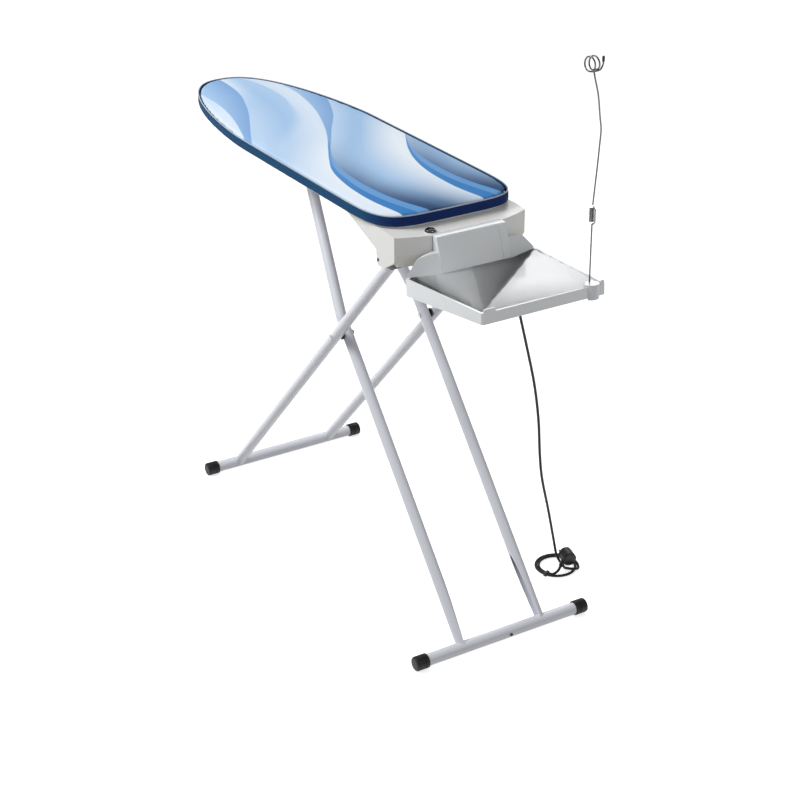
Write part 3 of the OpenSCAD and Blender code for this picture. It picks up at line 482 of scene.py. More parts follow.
def print_cloth(name):
    """Cotton with flowing waves of pale, sky and slate blue."""
    finish = Finish(name, Specular_IOR_Level=0.1, Sheen_Weight=0.03, Sheen_Roughness=0.5)
    x, y, _ = finish.axes(finish.moved(location=(-SURFACE_MIDDLE, 0, 0)))
    wobble = (finish.noise(300.0, 1.0) - 0.5) * 0.0006
    along, across = x, y + wobble
    edge = {key: finish.line(along, stops, -0.25, 0.25) for key, stops in WAVES.items()}

    def above(key, softness=0.0014):
        return finish.step(across - edge[key], -softness, softness)

    def shade_from(key, shades, sign=1):
        return dyed(finish, (across - edge[key]) * (sign / SHADE_REACH), SHADES[shades])

    def waves(low, split, top):
        """Both bands of a two-blue stripe and the sky above it."""
        pale_to_deep = finish.step(along, -0.05, 0.12)
        left = shade_from(top, "nose_blue", -1)
        upper = dyed(finish, along + 0.4, [(0.45, "cornflower"), (0.95, "azure")])
        lower = dyed(finish, along + 0.4, [(0.45, "azure"), (0.85, "royal")])
        bands = finish.mix(above(split), lower, upper)
        return finish.mix(pale_to_deep, left, bands)

    def sky(top):
        left, middle, right = (shade_from(top, key) for key in ("sky_left", "sky_middle", "sky_right"))
        nearer = finish.mix(finish.step(along, 0.0, 0.36), left, middle)
        return finish.mix(finish.step(along, 0.34, 0.60), nearer, right)

    lens = dyed(finish, along + 0.6, [(0.0, "mist"), (0.3, "pale")])
    nose_blue = shade_from("nose_blue_top", "nose_blue", -1)
    field_above = shade_from("wave_low", "field_near_nose", -1)
    field_below = shade_from("wave_low", "field_low", -1)
    pale_tip = dyed(finish, (across - edge["nose_blue_top"]) * (1 / 0.06), [(0.0, "pale"), (1.0, "mist")])
    tip = finish.step(along, -0.30, -0.56) * finish.step(across - edge["nose_blue_top"], 0.06, 0.0)
    field_below = finish.mix(tip, field_below, pale_tip)
    blur = finish.step(along, -0.35, 0.05) * 0.045 + 0.004
    over_haze = finish.step((across - edge["haze"]) / blur, -1.0, 1.0)
    field = finish.mix(over_haze, field_below, field_above)
    field = finish.mix(finish.step(along, -0.02, 0.16), field, shade_from("wave_low", "field_right", -1))

    base = finish.mix(above("lens_top"), lens, nose_blue)
    base = finish.mix(above("nose_blue_top"), base, field)
    base = finish.mix(above("wave_low"), base, waves("wave_low", "wave_split", "wave_top"))
    base = finish.mix(above("wave_top"), base, sky("wave_top"))
    base = finish.mix(above("far_low"), base, waves("far_low", "far_split", "far_top"))
    base = finish.mix(above("far_top"), base, sky("far_top"))
    threads = weave(finish, 0.0011, 1.0)
    base = finish.mix(threads * 0.03 + 0.03, base, colour("6F8FB4"), "MULTIPLY")
    height = threads * 0.5 + finish.noise(900.0, 2.0) * 0.6
    normal = finish.bump(height, 0.00012, 0.5)
    slubs = finish.noise(60.0, 3.0, place=finish.moved(scale=(1, 6, 1)))
    return finish.paint(Base_Color=base, Roughness=slubs * 0.12 + 0.72, Normal=normal)


def band_cloth(name):
    """Plain band cloth: petrol blue along the sides, darker navy at the wide end."""
    finish = Finish(name, Specular_IOR_Level=0.15, Sheen_Weight=0.04, Sheen_Roughness=0.45)
    x, y, z = finish.axes(finish.moved(location=(-SURFACE_MIDDLE, 0, 0)))
    half = SURFACE_LENGTH / 2
    end = finish.step(x, half - 0.10, half - 0.01)
    patches = finish.noise(35.0, 3.0)
    side = finish.mix(patches, colour("003F66"), colour("004B78"))
    wide = finish.mix(patches, colour("0B2560"), colour("103070"))
    base = finish.mix(end, side, wide)
    turn = 2 * math.pi / 0.0009
    ribs = ((x + y) * turn).sine() * (z * turn).sine()
    base = finish.mix(ribs * 0.08 + 0.08, base, colour("01243F"))
    normal = finish.bump(ribs * 0.5 + finish.noise(700.0, 2.0) * 0.7, 0.00014, 0.6)
    return finish.paint(Base_Color=base, Roughness=patches * 0.15 + 0.65, Normal=normal)


def cord_cloth(name, code, darker):
    """Fine braid, for piping and thread."""
    finish = Finish(name, Specular_IOR_Level=0.3, Sheen_Weight=0.1, Sheen_Roughness=0.5)
    x, y, z = finish.axes()
    turns = (((x + y) * 900.0 + z * 2500.0)).sine()
    base = finish.mix(turns * 0.25 + 0.4, colour(code), colour(darker))
    normal = finish.bump(turns, 0.0001, 0.5)
    return finish.paint(Base_Color=base, Roughness=0.8, Normal=normal)


# ------------------------------------------------------------------ plastics, metals and rubber


def moulded(name, code, darker, roughness=0.38, grain=1400.0, depth=0.00003, **constants):
    """Injection-moulded plastic with a fine grain and a faint cloudiness."""
    finish = Finish(name, **constants)
    clouds = finish.noise(9.0, 3.0)
    base = finish.mix(clouds * 0.7, colour(code), colour(darker))
    fine = finish.noise(grain, 2.0)
    normal = finish.bump(fine, depth, 0.6)
    rubs = finish.noise(70.0, 4.0, 0.6)
    return finish.paint(Base_Color=base, Roughness=rubs * 0.16 + (roughness - 0.08), Normal=normal)


def powder_coat(name, code, darker):
    """Pale powder coat with the soft dimples of sprayed paint."""
    finish = Finish(name, Coat_Weight=0.25, Coat_Roughness=0.18, Specular_IOR_Level=0.5)
    clouds = finish.noise(14.0, 3.0)
    base = finish.mix(clouds * 0.5, colour(code), colour(darker))
    dimples = finish.noise(420.0, 2.0)
    normal = finish.bump(dimples, 0.00006, 0.5)
    return finish.paint(Base_Color=base, Roughness=clouds * 0.1 + 0.27, Normal=normal)


def bare_metal(name, code, roughness=0.3, stretch=(1, 1, 1)):
    """Drawn or plated metal with fine lengthwise scratches."""
    finish = Finish(name, Metallic=1.0)
    lines = finish.noise(500.0, 3.0, place=finish.moved(scale=stretch))
    stains = finish.noise(40.0, 3.0)
    base = finish.mix(stains * 0.35, colour(code), colour("5A5C60"))
    normal = finish.bump(lines, 0.00003, 0.5)
    return finish.paint(Base_Color=base, Roughness=lines * 0.18 + (roughness - 0.08), Normal=normal)


def soft_rubber(name, code, lighter, roughness=0.62):
    """Black rubber or flexible vinyl, slightly dusty."""
    finish = Finish(name, Specular_IOR_Level=0.35)
    dust = finish.noise(120.0, 4.0, 0.65)
    base = finish.mix(dust * 0.6, colour(code), colour(lighter))
    normal = finish.bump(finish.noise(900.0, 2.0), 0.00004, 0.5)
    return finish.paint(Base_Color=base, Roughness=dust * 0.2 + (roughness - 0.1), Normal=normal)


def felt(name):
    """Pressed felt of the pad, which shows only where the cover is lifted."""
    finish = Finish(name, Sheen_Weight=0.3)
    fibres = finish.noise(700.0, 5.0, 0.7)
    base = finish.mix(fibres, colour("CFC9B8"), colour("E6E1D2"))
    return finish.paint(Base_Color=base, Roughness=0.95, Normal=finish.bump(fibres, 0.0003, 0.7))


def circuit_board(name):
    """Green board with faint tracks."""
    finish = Finish(name, Coat_Weight=0.4)
    tracks = finish.noise(160.0, 0.0)
    base = finish.mix(finish.step(tracks, 0.48, 0.52), colour("1B5A33"), colour("2B7A45"))
    return finish.paint(Base_Color=base, Roughness=tracks * 0.2 + 0.3)


def make_finishes():
    """Every material, by the record's slot."""
    return {
        "shell": moulded("shell_plastic", "EDEDEC", "E4E4E2"),
        "plate": bare_metal("zinc_plate", "B9BDC4", 0.35),
        "pad": felt("pad_felt"),
        "cover": print_cloth("wave_print"),
        "band": band_cloth("petrol_band"),
        "piping": cord_cloth("grey_piping", "C3C9D1", "8F98A5"),
        "housing": moulded("housing_plastic", "EBEBE9", "E2E2DF"),
        "pan": moulded("pan_plastic", "E6E4DD", "DCD9D1"),
        "black_plastic": moulded("black_plastic", "101012", "1B1B1E", 0.42),
        "knob": moulded("knob_gloss", "0C0C0E", "141417", 0.16, Coat_Weight=0.6, Coat_Roughness=0.08),
        "zinc": bare_metal("zinc_steel", "C4C7CC", 0.3),
        "circuit": circuit_board("circuit_green"),
        "motor": bare_metal("motor_case", "6D7076", 0.4),
        "leg_paint": powder_coat("leg_powder_coat", "E4E6EE", "DADDE6"),
        "foot": soft_rubber("foot_rubber", "0B0B0C", "202022", 0.5),
        "tray": moulded(
            "tray_plastic", "E7EAEC", "DDE1E4", 0.24, 900.0, 0.00002, Coat_Weight=0.3, Coat_Roughness=0.12
        ),
        "clip": moulded(
            "clip_plastic", "D9DDE2", "CED3DA", 0.2, 900.0, 0.00002, Coat_Weight=0.4, Coat_Roughness=0.1
        ),
        "wire": bare_metal("spring_steel", "6A6B70", 0.28),
        "lead": soft_rubber("lead_vinyl", "09090A", "18181A", 0.42),
        "pins": bare_metal("brass_pins", "D8A650", 0.22),
    }


FINISHES = {}


# ------------------------------------------------------------------ settings


class CoverSettings(bpy.types.PropertyGroup):
    """Sizes of the cover and its band."""

    pad_swell: FloatProperty(
        name="Pad swell", description="How far the pad may swell", default=1.6 * MM, unit="LENGTH"
    )
    voxel: FloatProperty(
        name="Voxel", description="Mesh size of the pad before it swells", default=6.5 * MM, unit="LENGTH"
    )
    piping_radius: FloatProperty(
        name="Piping", description="Radius of the piping", default=1.5 * MM, unit="LENGTH"
    )
    ripple: FloatProperty(
        name="Ripple", description="Depth of the gathers at the hem", default=0.7 * MM, unit="LENGTH"
    )
    stitch: FloatProperty(
        name="Stitch", description="Distance between stitches", default=5.0 * MM, unit="LENGTH"
    )


class StageSettings(bpy.types.PropertyGroup):
    """Camera and light."""

    camera_place: FloatVectorProperty(
        name="Camera", description="Where the camera stands",
        default=(3.6201, -2.0655, 2.4409), subtype="TRANSLATION"
    )
    azimuth: FloatProperty(
        name="Azimuth", description="Turn of the view from +Y to -X",
        default=math.radians(59.08), subtype="ANGLE"
    )
    elevation: FloatProperty(
        name="Elevation", description="How far the view looks down",
        default=math.radians(26.37), subtype="ANGLE"
    )
    roll: FloatProperty(
        name="Roll", description="Roll of the camera",
        default=math.radians(-0.41), subtype="ANGLE"
    )
    lens: FloatProperty(name="Lens", description="Focal length in millimetres", default=80.8)
    sky: FloatProperty(name="Sky", description="Strength of the white surroundings", default=0.3)
    key: FloatProperty(name="Key light", description="Power of the main soft light in watts", default=112.0)
    glow: FloatProperty(name="Floor glow", description="How much the floor shines by itself", default=0.7)


# ------------------------------------------------------------------ stage


class BOARD_OT_stage(bpy.types.Operator):
    """Sets up the camera, the lights and a pale floor."""

    bl_idname = "board.stage"
    bl_label = "Stage"

    def execute(self, context):
        settings = context.scene.board_stage
        self.camera(context, settings)
        self.lights(context, settings)
        self.floor(context, settings)
        context.scene.view_settings.view_transform = "Standard"
        return {"FINISHED"}

    def camera(self, context, settings):
        azimuth, elevation = settings.azimuth, settings.elevation
        level = math.cos(elevation)
        ahead = Vector((-math.sin(azimuth) * level, math.cos(azimuth) * level, -math.sin(elevation)))
        right = ahead.cross(Vector((0, 0, 1))).normalized()
        up = right.cross(ahead)
        turned_right = math.cos(settings.roll) * right + math.sin(settings.roll) * up
        turned_up = math.cos(settings.roll) * up - math.sin(settings.roll) * right
        data = bpy.data.cameras.new("camera")
        data.lens = settings.lens
        data.sensor_width = 36.0
        data.clip_end = 60.0
        camera = bpy.data.objects.new("camera", data)
        context.scene.collection.objects.link(camera)
        rotation = Matrix((turned_right, turned_up, -ahead)).transposed().to_4x4()
        camera.matrix_world = Matrix.Translation(settings.camera_place) @ rotation
        context.scene.camera = camera

    def lights(self, context, settings):
        world = bpy.data.worlds.new("surroundings")
        world.use_nodes = True
        background = world.node_tree.nodes["Background"]
        background.inputs["Color"].default_value = (1.0, 1.0, 1.0, 1.0)
        background.inputs["Strength"].default_value = settings.sky
        context.scene.world = world
        rows = [
            ("key", (-0.9, -2.4, 3.4), 1.6, settings.key),
            ("fill", (3.4, 0.9, 2.2), 2.0, settings.key * 0.14),
            ("rim", (-2.2, 2.2, 2.6), 1.6, settings.key * 0.22),
        ]
        for name, place, size, power in rows:
            data = bpy.data.lights.new(name, "AREA")
            data.size = size
            data.energy = power
            lamp = bpy.data.objects.new(name, data)
            context.scene.collection.objects.link(lamp)
            aim = (Vector((0.1, 0, 0.7)) - Vector(place)).to_track_quat("-Z", "Y")
            lamp.matrix_world = Matrix.Translation(place) @ aim.to_matrix().to_4x4()

    def floor(self, context, settings):
        white = (1.0, 1.0, 1.0, 1.0)
        shine = {"Emission_Color": white, "Emission_Strength": settings.glow}
        finish = Finish("floor_gloss", Specular_IOR_Level=0.45, **shine)
        mottled = finish.noise(3.0, 2.0)
        base = finish.mix(mottled, colour("FBFBFC"), colour("FFFFFF"))
        material = finish.paint(Base_Color=base, Roughness=mottled * 0.05 + 0.16)
        bm = bmesh.new()
        bmesh.ops.create_grid(bm, x_segments=8, y_segments=8, size=14.0)
        mesh = bpy.data.meshes.new("floor")
        bm.to_mesh(mesh)
        bm.free()
        floor = bpy.data.objects.new("floor", mesh)
        floor.data.materials.append(material)
        context.scene.collection.objects.link(floor)
        floor.visible_diffuse = False


# ------------------------------------------------------------------ mains lead


LEAD_RADIUS = 3.5 * MM


def lead_route():
    """From the gland down to the floor, one and a half turns inside its own coil, then up into the plug."""
    gland_low, gland_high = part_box("cable_gland")
    exit_x, exit_y = (gland_low.x + gland_high.x) / 2, (gland_low.y + gland_high.y) / 2
    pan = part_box("housing_pan")[0].z
    drop = [(0, 0, 6), (0, 1, 60), (-3, 30, 160), (-6, 65, 290), (-7, 92, 400), (-6, 107, 500),
            (-5, 114, 600), (-5, 123, 670), (-8, 148, 770), (-9, 168, 860), (-8, 177, 905)]
    coil_x, coil_y = exit_x + 10 * MM, 306 * MM
    landing = [(-11, 17, 9), (-3, 18, 5.2), (10, 15, 4.6), (22, 11, 5.6), (33, 10, 10.5), (43, 16, 12),
               (47, 28, 10.4), (40, 41, 6)]
    to_plug = [(31, -26, 6), (31, -16, 11), (27, -7, 17), (22, 1, 22)]
    start, sweep, radius, pitch, height = 60, 610, 56, 7.3, 4.6
    points = [(exit_x + x * MM, exit_y + y * MM, pan - z * MM) for x, y, z in drop]
    points += [(coil_x + x * MM, coil_y + y * MM, z * MM) for x, y, z in landing]
    for turn in range(10, sweep + 1, 24):
        angle, reach = math.radians(start + turn), radius - pitch * turn / 360
        across, away = reach * math.cos(angle) * MM, reach * math.sin(angle) * MM
        points.append((coil_x + across, coil_y + away, height * MM))
    points += [(coil_x + x * MM, coil_y + y * MM, z * MM) for x, y, z in to_plug]
    return smooth_path(points, 6)


class BOARD_OT_lead(bpy.types.Operator):
    """Makes the mains lead, its tie and its plug."""

    bl_idname = "board.lead"
    bl_label = "Mains lead"

    def execute(self, context):
        route = lead_route()
        lead = tube("mains_lead", route, LEAD_RADIUS, resolution=5)
        lead.data.materials.append(FINISHES["lead"])
        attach(lead, "board")
        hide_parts("power_cord")
        black = FINISHES["black_plastic"]
        shell = rounded_copy("plug_body", 0.8 * MM)
        plug = piece("plug_shell", shell, "board", "black_plastic", black, "plug_body")
        contacts = rounded_copy("plug_pins", 0.5 * MM)
        pins = piece("plug_contacts", contacts, "board", "pins", FINISHES["pins"], "plug_pins")
        strap = rounded_copy("cord_tie", 0.25 * MM, 2)
        tie = piece("lead_tie", strap, "board", "black_plastic", black, "cord_tie")
        self.relief()
        return {"FINISHED"}

    def relief(self):
        """Tapered strain relief with rings, under the housing's corner."""
        low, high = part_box("cable_gland")
        top = high.z - 8 * MM
        centre = ((low.x + high.x) / 2, (low.y + high.y) / 2, 0)
        profile = [(LEAD_RADIUS + 0.1 * MM, low.z), (5.0 * MM, low.z)]
        rings = 4
        for i in range(rings):
            share = (i + 0.5) / rings
            z = low.z + share * (top - low.z)
            reach = (5.2 + 4.2 * share) * MM
            groove = reach - 1.0 * MM
            profile += [(reach, z - 1.0 * MM), (reach, z + 0.4 * MM)]
            profile += [(groove, z + 0.7 * MM), (groove, z + 1.5 * MM)]
        profile += [(10 * MM, top - 1.0 * MM), (10 * MM, top), (7 * MM, top), (7 * MM, high.z)]
        profile.append((LEAD_RADIUS + 0.1 * MM, high.z))
        profile.append(profile[0])
        bm = lathe(profile, centre, steps=32)
        return piece("strain_relief", bm, "board", "black_plastic", FINISHES["black_plastic"], "cable_gland")


# ------------------------------------------------------------------ cover


def padded(obj, voxel, swell, frames=20):
    """Voxel remesh, a short cloth simulation under pressure, and a limit on how far a point may move."""
    remesh = obj.modifiers.new("remesh", "REMESH")
    remesh.mode = "VOXEL"
    remesh.voxel_size = voxel
    applied(obj)
    rest = [v.co.copy() for v in obj.data.vertices]
    cloth = obj.modifiers.new("cloth", "CLOTH")
    cloth.settings.quality = 4
    cloth.settings.mass = 0.3
    cloth.settings.use_pressure = True
    cloth.settings.uniform_pressure_force = 4.0
    cloth.settings.effector_weights.gravity = 0.0
    cloth.settings.tension_stiffness = 15
    cloth.settings.bending_stiffness = 0.5
    cloth.point_cache.frame_start = 1
    cloth.point_cache.frame_end = frames
    scene = bpy.context.scene
    for number in range(1, frames + 1):
        scene.frame_set(number)
    applied(obj)
    scene.frame_set(1)
    for vertex, start in zip(obj.data.vertices, rest):
        move = vertex.co - start
        if move.length > swell:
            vertex.co = start + move * (swell / move.length)
    subdivide = obj.modifiers.new("subdivide", "SUBSURF")
    subdivide.levels = 1
    subdivide.render_levels = 1
    return applied(obj)


class BOARD_OT_cover(bpy.types.Operator):
    """Makes the padded cover, its side band with hem and stitches, and the piping between them."""

    bl_idname = "board.cover"
    bl_label = "Cover"

    def execute(self, context):
        settings = context.scene.board_cover
        self.pad(settings)
        self.band(settings)
        self.stitches(settings)
        self.piping(settings)
        return {"FINISHED"}

    def pad(self, settings):
        """The printed cloth over its pad: a flat loaf with soft shoulders."""
        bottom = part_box("foam_pad")[0].z
        top = SURFACE_TOP - settings.pad_swell
        bm = bmesh.new()
        ring = [bm.verts.new((x, y, bottom)) for x, y in outline(-3.2 * MM - settings.pad_swell)]
        face = bm.faces.new(ring)
        raised = bmesh.ops.extrude_face_region(bm, geom=[face])["geom"]
        lifted = [v for v in raised if isinstance(v, bmesh.types.BMVert)]
        bmesh.ops.translate(bm, verts=lifted, vec=(0, 0, top - bottom))
        settled(bm)
        mesh = bpy.data.meshes.new("printed_cover")
        bm.to_mesh(mesh)
        bm.free()
        cover = bpy.data.objects.new("printed_cover", mesh)
        bpy.context.scene.collection.objects.link(cover)
        padded(cover, settings.voxel, settings.pad_swell)
        for vertex in cover.data.vertices:
            at = vertex.co
            level = max(0.0, (at.z - bottom) / (SURFACE_TOP - bottom))
            at.z += 0.35 * MM * level * noise.noise(Vector((at.x * 9, at.y * 9, 0.3)))
            at.z = max(at.z, bottom)
        dress(cover, "board", "cover", FINISHES["cover"], "cover_top", "foam_pad", smooth_angle=60)

    def band_point(self, x, y, side, level, settings):
        """A point on the band: level runs from the hem, 0, to the piping, 1."""
        low, high = BAND_LOW.z + 1.0 * MM, SURFACE_TOP - 3.6 * MM
        bulge = 0.5 * MM * math.sin(math.pi * level) - 1.0 * MM * level**6
        pull = (1 - level) ** 2
        curl = noise.noise(Vector((x * 38, y * 38, 1.7))) + 0.6 * noise.noise(Vector((x * 95, y * 95, 4.1)))
        gather = settings.ripple * pull * curl * (0.35 + 0.65 * self.bend_share(x, y))
        reach = bulge + gather
        return Vector((x + side[0] * reach, y + side[1] * reach, low + (high - low) * level))

    def bend_share(self, x, y):
        """One round the nose and the tail's corners, zero along the straight sides."""
        from_nose = (x - BAND_LOW.x) / NOSE_LENGTH
        from_tail = (BAND_HIGH.x - x) / (0.4 * TAIL_LENGTH)
        return max(0.0, 1 - from_nose, 1 - from_tail)

    def sides(self, ring):
        """Outward directions at the points of a closed ring."""
        count = len(ring)
        result = []
        for i in range(count):
            before, after = ring[i - 1], ring[(i + 1) % count]
            along = Vector((after[0] - before[0], after[1] - before[1]))
            along.normalize()
            result.append((along.y, -along.x))
        return result

    def band(self, settings):
        """The dyed band, turned under at its hem."""
        ring = outline(0.0)
        sides = self.sides(ring)
        rows = 9
        bm = bmesh.new()
        made = bmesh.ops.create_circle(bm, segments=len(ring), radius=1.0)["verts"]
        for vertex, (x, y), side in zip(made, ring, sides):
            vertex.co = self.band_point(x, y, side, 1.0, settings)
        edges = list(bm.edges)
        for row in range(rows - 1, -1, -1):
            edges, verts = self.next_row(bm, edges)
            for vertex, (x, y), side in zip(verts, ring, sides):
                vertex.co = self.band_point(x, y, side, row / rows, settings)
        for inward, lift in ((0.9, -0.9), (2.4, -1.0), (5.2, -0.6)):
            edges, verts = self.next_row(bm, edges)
            for vertex, (x, y), side in zip(verts, ring, sides):
                hem = self.band_point(x, y, side, 0.0, settings)
                vertex.co = hem + Vector((-side[0] * inward * MM, -side[1] * inward * MM, lift * MM))
        settled(bm)
        obj = piece("side_band", bm, "board", "band", FINISHES["band"], "cover_band", smooth_angle=60)
        thick = obj.modifiers.new("thickness", "SOLIDIFY")
        thick.thickness = 0.9 * MM
        thick.offset = -1.0

    def next_row(self, bm, edges):
        """Extrudes a ring of edges and gives its new edges and its new vertices, in order."""
        made = bmesh.ops.extrude_edge_only(bm, edges=edges)["geom"]
        new_edges = [g for g in made if isinstance(g, bmesh.types.BMEdge)]
        new_verts = [g for g in made if isinstance(g, bmesh.types.BMVert)]
        return new_edges, new_verts

    def stitches(self, settings):
        """A row of short stitches above the hem."""
        ring = evened(outline(0.0), settings.stitch)
        sides = self.sides(ring)
        bm = bmesh.new()
        for (x, y), side in zip(ring, sides):
            at = self.band_point(x, y, side, 0.2, settings) + Vector((side[0], side[1], 0)) * 0.15 * MM
            along = Vector((-side[1], side[0], 0))
            turn = along.to_track_quat("Z", "Y").to_matrix().to_4x4()
            matrix = Matrix.Translation(at) @ turn @ Matrix.Diagonal((1, 1, 3.1 * MM, 1))
            bmesh.ops.create_cone(
                bm, cap_ends=True, segments=6, radius1=0.35 * MM, radius2=0.35 * MM, depth=1.0, matrix=matrix
            )
        piece("hem_stitches", bm, "board", "piping", FINISHES["thread"])

    def piping(self, settings):
        """Round piping sewn between the print and the band."""
        low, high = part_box("cover_piping")
        z = (low.z + high.z) / 2
        points = [(x, y, z) for x, y in outline(-1.3 * MM)]
        bm = tube_mesh("piping", points, settings.piping_radius, closed=True, resolution=3)
        piece("cover_piping_cord", bm, "board", "piping", FINISHES["piping"], "cover_piping", smooth_angle=80)


# ------------------------------------------------------------------ shells, housing and tray


class BOARD_OT_shells(bpy.types.Operator):
    """Rounds the mouldings of the board, its housing and its knob."""

    bl_idname = "board.shells"
    bl_label = "Shell and housing"

    def execute(self, context):
        rows = [
            ("board_shell", "shell_moulding", 0.9, "shell"),
            ("housing_upper", "housing_deck", 1.3, "housing"),
            ("housing_pan", "housing_tub", 1.2, "pan"),
            ("tray_hanger", "tray_hook_rail", 0.8, "housing"),
            ("flange_screws", "side_screws", 0.4, "black_plastic"),
            ("knob_seat", "knob_ring", 0.5, "black_plastic"),
        ]
        for node, name, width, slot in rows:
            rounded = rounded_copy(node, width * MM)
            piece(name, rounded, BODY_OF[node], slot, FINISHES[slot], node, smooth_angle=FLAT_ANGLE)
        self.knob()
        return {"FINISHED"}

    def knob(self):
        """A glossy dial with a grip and a bright rim."""
        low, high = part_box("knob")
        x, y = (low.x + high.x) / 2, (low.y + high.y) / 2
        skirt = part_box("knob_seat")[1].z + 0.2 * MM
        reach = (high.x - low.x) / 2
        steps = [(0, 0), (0, 1.4), (-0.4, 2.3), (-1.4, 3.2), (-2.8, 3.6)]
        profile = [(0, low.z), (3 * MM, low.z), (3 * MM, skirt)]
        profile += [(reach + inward * MM, skirt + rise * MM) for inward, rise in steps]
        profile.append((0, skirt + 3.4 * MM))
        piece("dial", lathe(profile, (x, y, 0), steps=64), "knob", "knob", FINISHES["knob"], "knob")
        ring = [(0.05, 0.3), (0.3, 0.7), (0.05, 1.2), (-0.2, 0.7), (0.05, 0.3)]
        rim = lathe([(reach + out * MM, skirt + rise * MM) for out, rise in ring], (x, y, 0), steps=64)
        piece("dial_rim", rim, "knob", "zinc", FINISHES["bright"])
        grip = bmesh.new()
        size = Matrix.Diagonal((1.5 * reach, 3.6 * MM, 2.0 * MM, 1))
        bmesh.ops.create_cube(grip, size=1.0, matrix=Matrix.Translation((x, y, skirt + 3.6 * MM)) @ size)
        bevelled(grip, 0.7 * MM, 3)
        piece("dial_grip", grip, "knob", "knob", FINISHES["knob"])


class BOARD_OT_tray(bpy.types.Operator):
    """Makes the iron tray, its neck and the holder's clip."""

    bl_idname = "board.tray"
    bl_label = "Iron tray"

    def execute(self, context):
        rows = [
            ("tray_dish", "tray_pan", 1.2, "tray"),
            ("tray_neck", "tray_bridge", 1.1, "tray"),
            ("holder_clip", "holder_clamp", 1.1, "clip"),
            ("tray_screws", "tray_fixings", 0.3, "zinc"),
        ]
        for node, name, width, slot in rows:
            rounded = rounded_copy(node, width * MM)
            piece(name, rounded, BODY_OF[node], slot, FINISHES[slot], node, smooth_angle=FLAT_ANGLE)
        return {"FINISHED"}


# ------------------------------------------------------------------ cord holder


SPRING_WIRE = 1.2 * MM


class BOARD_OT_holder(bpy.types.Operator):
    """Makes the cord holder: lower rod, flex spring, upper rod with two loops and its tip."""

    bl_idname = "board.holder"
    bl_label = "Cord holder"

    def execute(self, context):
        low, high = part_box("lower_wire")
        spring_low, spring_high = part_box("flex_spring")
        radius = 1.8 * MM
        x, y = low.x + radius, (low.y + high.y) / 2
        foot = Vector((x, y, spring_low.z))
        rod = [(0, 0, low.z - foot.z), (0, 0, -6 * MM), (0, 0, -3.4 * MM)]
        rod += [(1.2 * MM, 0, -1.8 * MM), (4.2 * MM, 0, -0.6 * MM), (6.2 * MM, 0, 0.6 * MM)]
        points = [foot + Vector(p) for p in rod[:1]] + smooth_path([foot + Vector(p) for p in rod[1:]], 5)
        self.wire("holder_rod", points, radius, "lower_rod", "lower_wire")
        self.wire("holder_spring", self.coil(foot, spring_high.z), SPRING_WIRE, "lower_rod", "flex_spring")
        self.wire("holder_loops", self.loops(foot), radius, "upper_rod", "upper_wire")
        tip_low, tip_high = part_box("wire_tip")
        self.tip(tip_low, tip_high)
        return {"FINISHED"}

    def wire(self, name, points, radius, body, node):
        bm = tube_mesh(name, points, radius, resolution=5)
        piece(name, bm, body, "wire", FINISHES["wire"], node, smooth_angle=60)

    def coil(self, foot, top):
        """Seven turns, then the wire comes back to the middle."""
        turns, steps, reach = 7, 28, 6.4 * MM
        first = foot.z + 1.8 * MM
        rise = top - foot.z - 7.0 * MM
        points = []
        for i in range(turns * steps + 1):
            angle = 2 * math.pi * i / steps
            z = first + rise * i / (turns * steps)
            points.append(Vector((foot.x + reach * math.cos(angle), foot.y + reach * math.sin(angle), z)))
        back = [(6.2, 0.8, 0.9), (4.6, 0.9, 2.2), (2.0, 0.4, 3.4), (0.2, 0.0, 4.2)]
        points += [Vector((foot.x + a * MM, foot.y + b * MM, first + rise + c * MM)) for a, b, c in back]
        return points

    def loops(self, foot):
        """The long rod with its two loops and the short tail."""
        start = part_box("upper_wire")[0].z + 1.8 * MM
        rise = [(0, 0, 0), (0, 3, 34), (0, 7, 78), (0, 11, 130), (0, 13, 164), (0, 9, 190), (0, 2, 238),
                (-3, -6, 275), (-7, -7, 290)]
        centre, reach = start + 309 * MM, 14
        points = smooth_path([(foot.x + a * MM, foot.y + b * MM, start + c * MM) for a, b, c in rise], 6)
        for i in range(1, 81):
            angle = math.radians(i * 9 - 90)
            x, z = foot.x + reach * math.cos(angle) * MM, centre + reach * math.sin(angle) * MM
            points.append(Vector((x, foot.y + (-6 - 22 * i / 80) * MM, z)))
        tail = [(0, -28, -14), (5, -27.6, -14.6), (9, -22, -15.2), (8.6, -12, -15.6), (6, -1, -15),
                (3, 6, -11), (1, 10, -6), (0.4, 11, -1)]
        tail = [(foot.x + a * MM, foot.y + b * MM, centre + c * MM) for a, b, c in tail]
        points += smooth_path(tail, 5)[1:]
        return points

    def tip(self, low, high):
        """A black cap on the wire's end."""
        reach = (high.x - low.x) / 2
        profile = [(0, low.z), (reach - 0.4 * MM, low.z)]
        profile += [(reach, low.z + 0.5 * MM), (reach, high.z - 1.1 * reach)]
        profile += [(reach * math.cos(a), high.z - reach + reach * math.sin(a)) for a in (0.2, 0.6, 1.0, 1.3)]
        profile.append((0, high.z))
        centre = ((low.x + high.x) / 2, (low.y + high.y) / 2, 0)
        cap = lathe(profile, centre, steps=24)
        black = FINISHES["black_plastic"]
        piece("holder_tip", cap, "upper_rod", "black_plastic", black, "wire_tip", smooth_angle=50)


# ------------------------------------------------------------------ legs


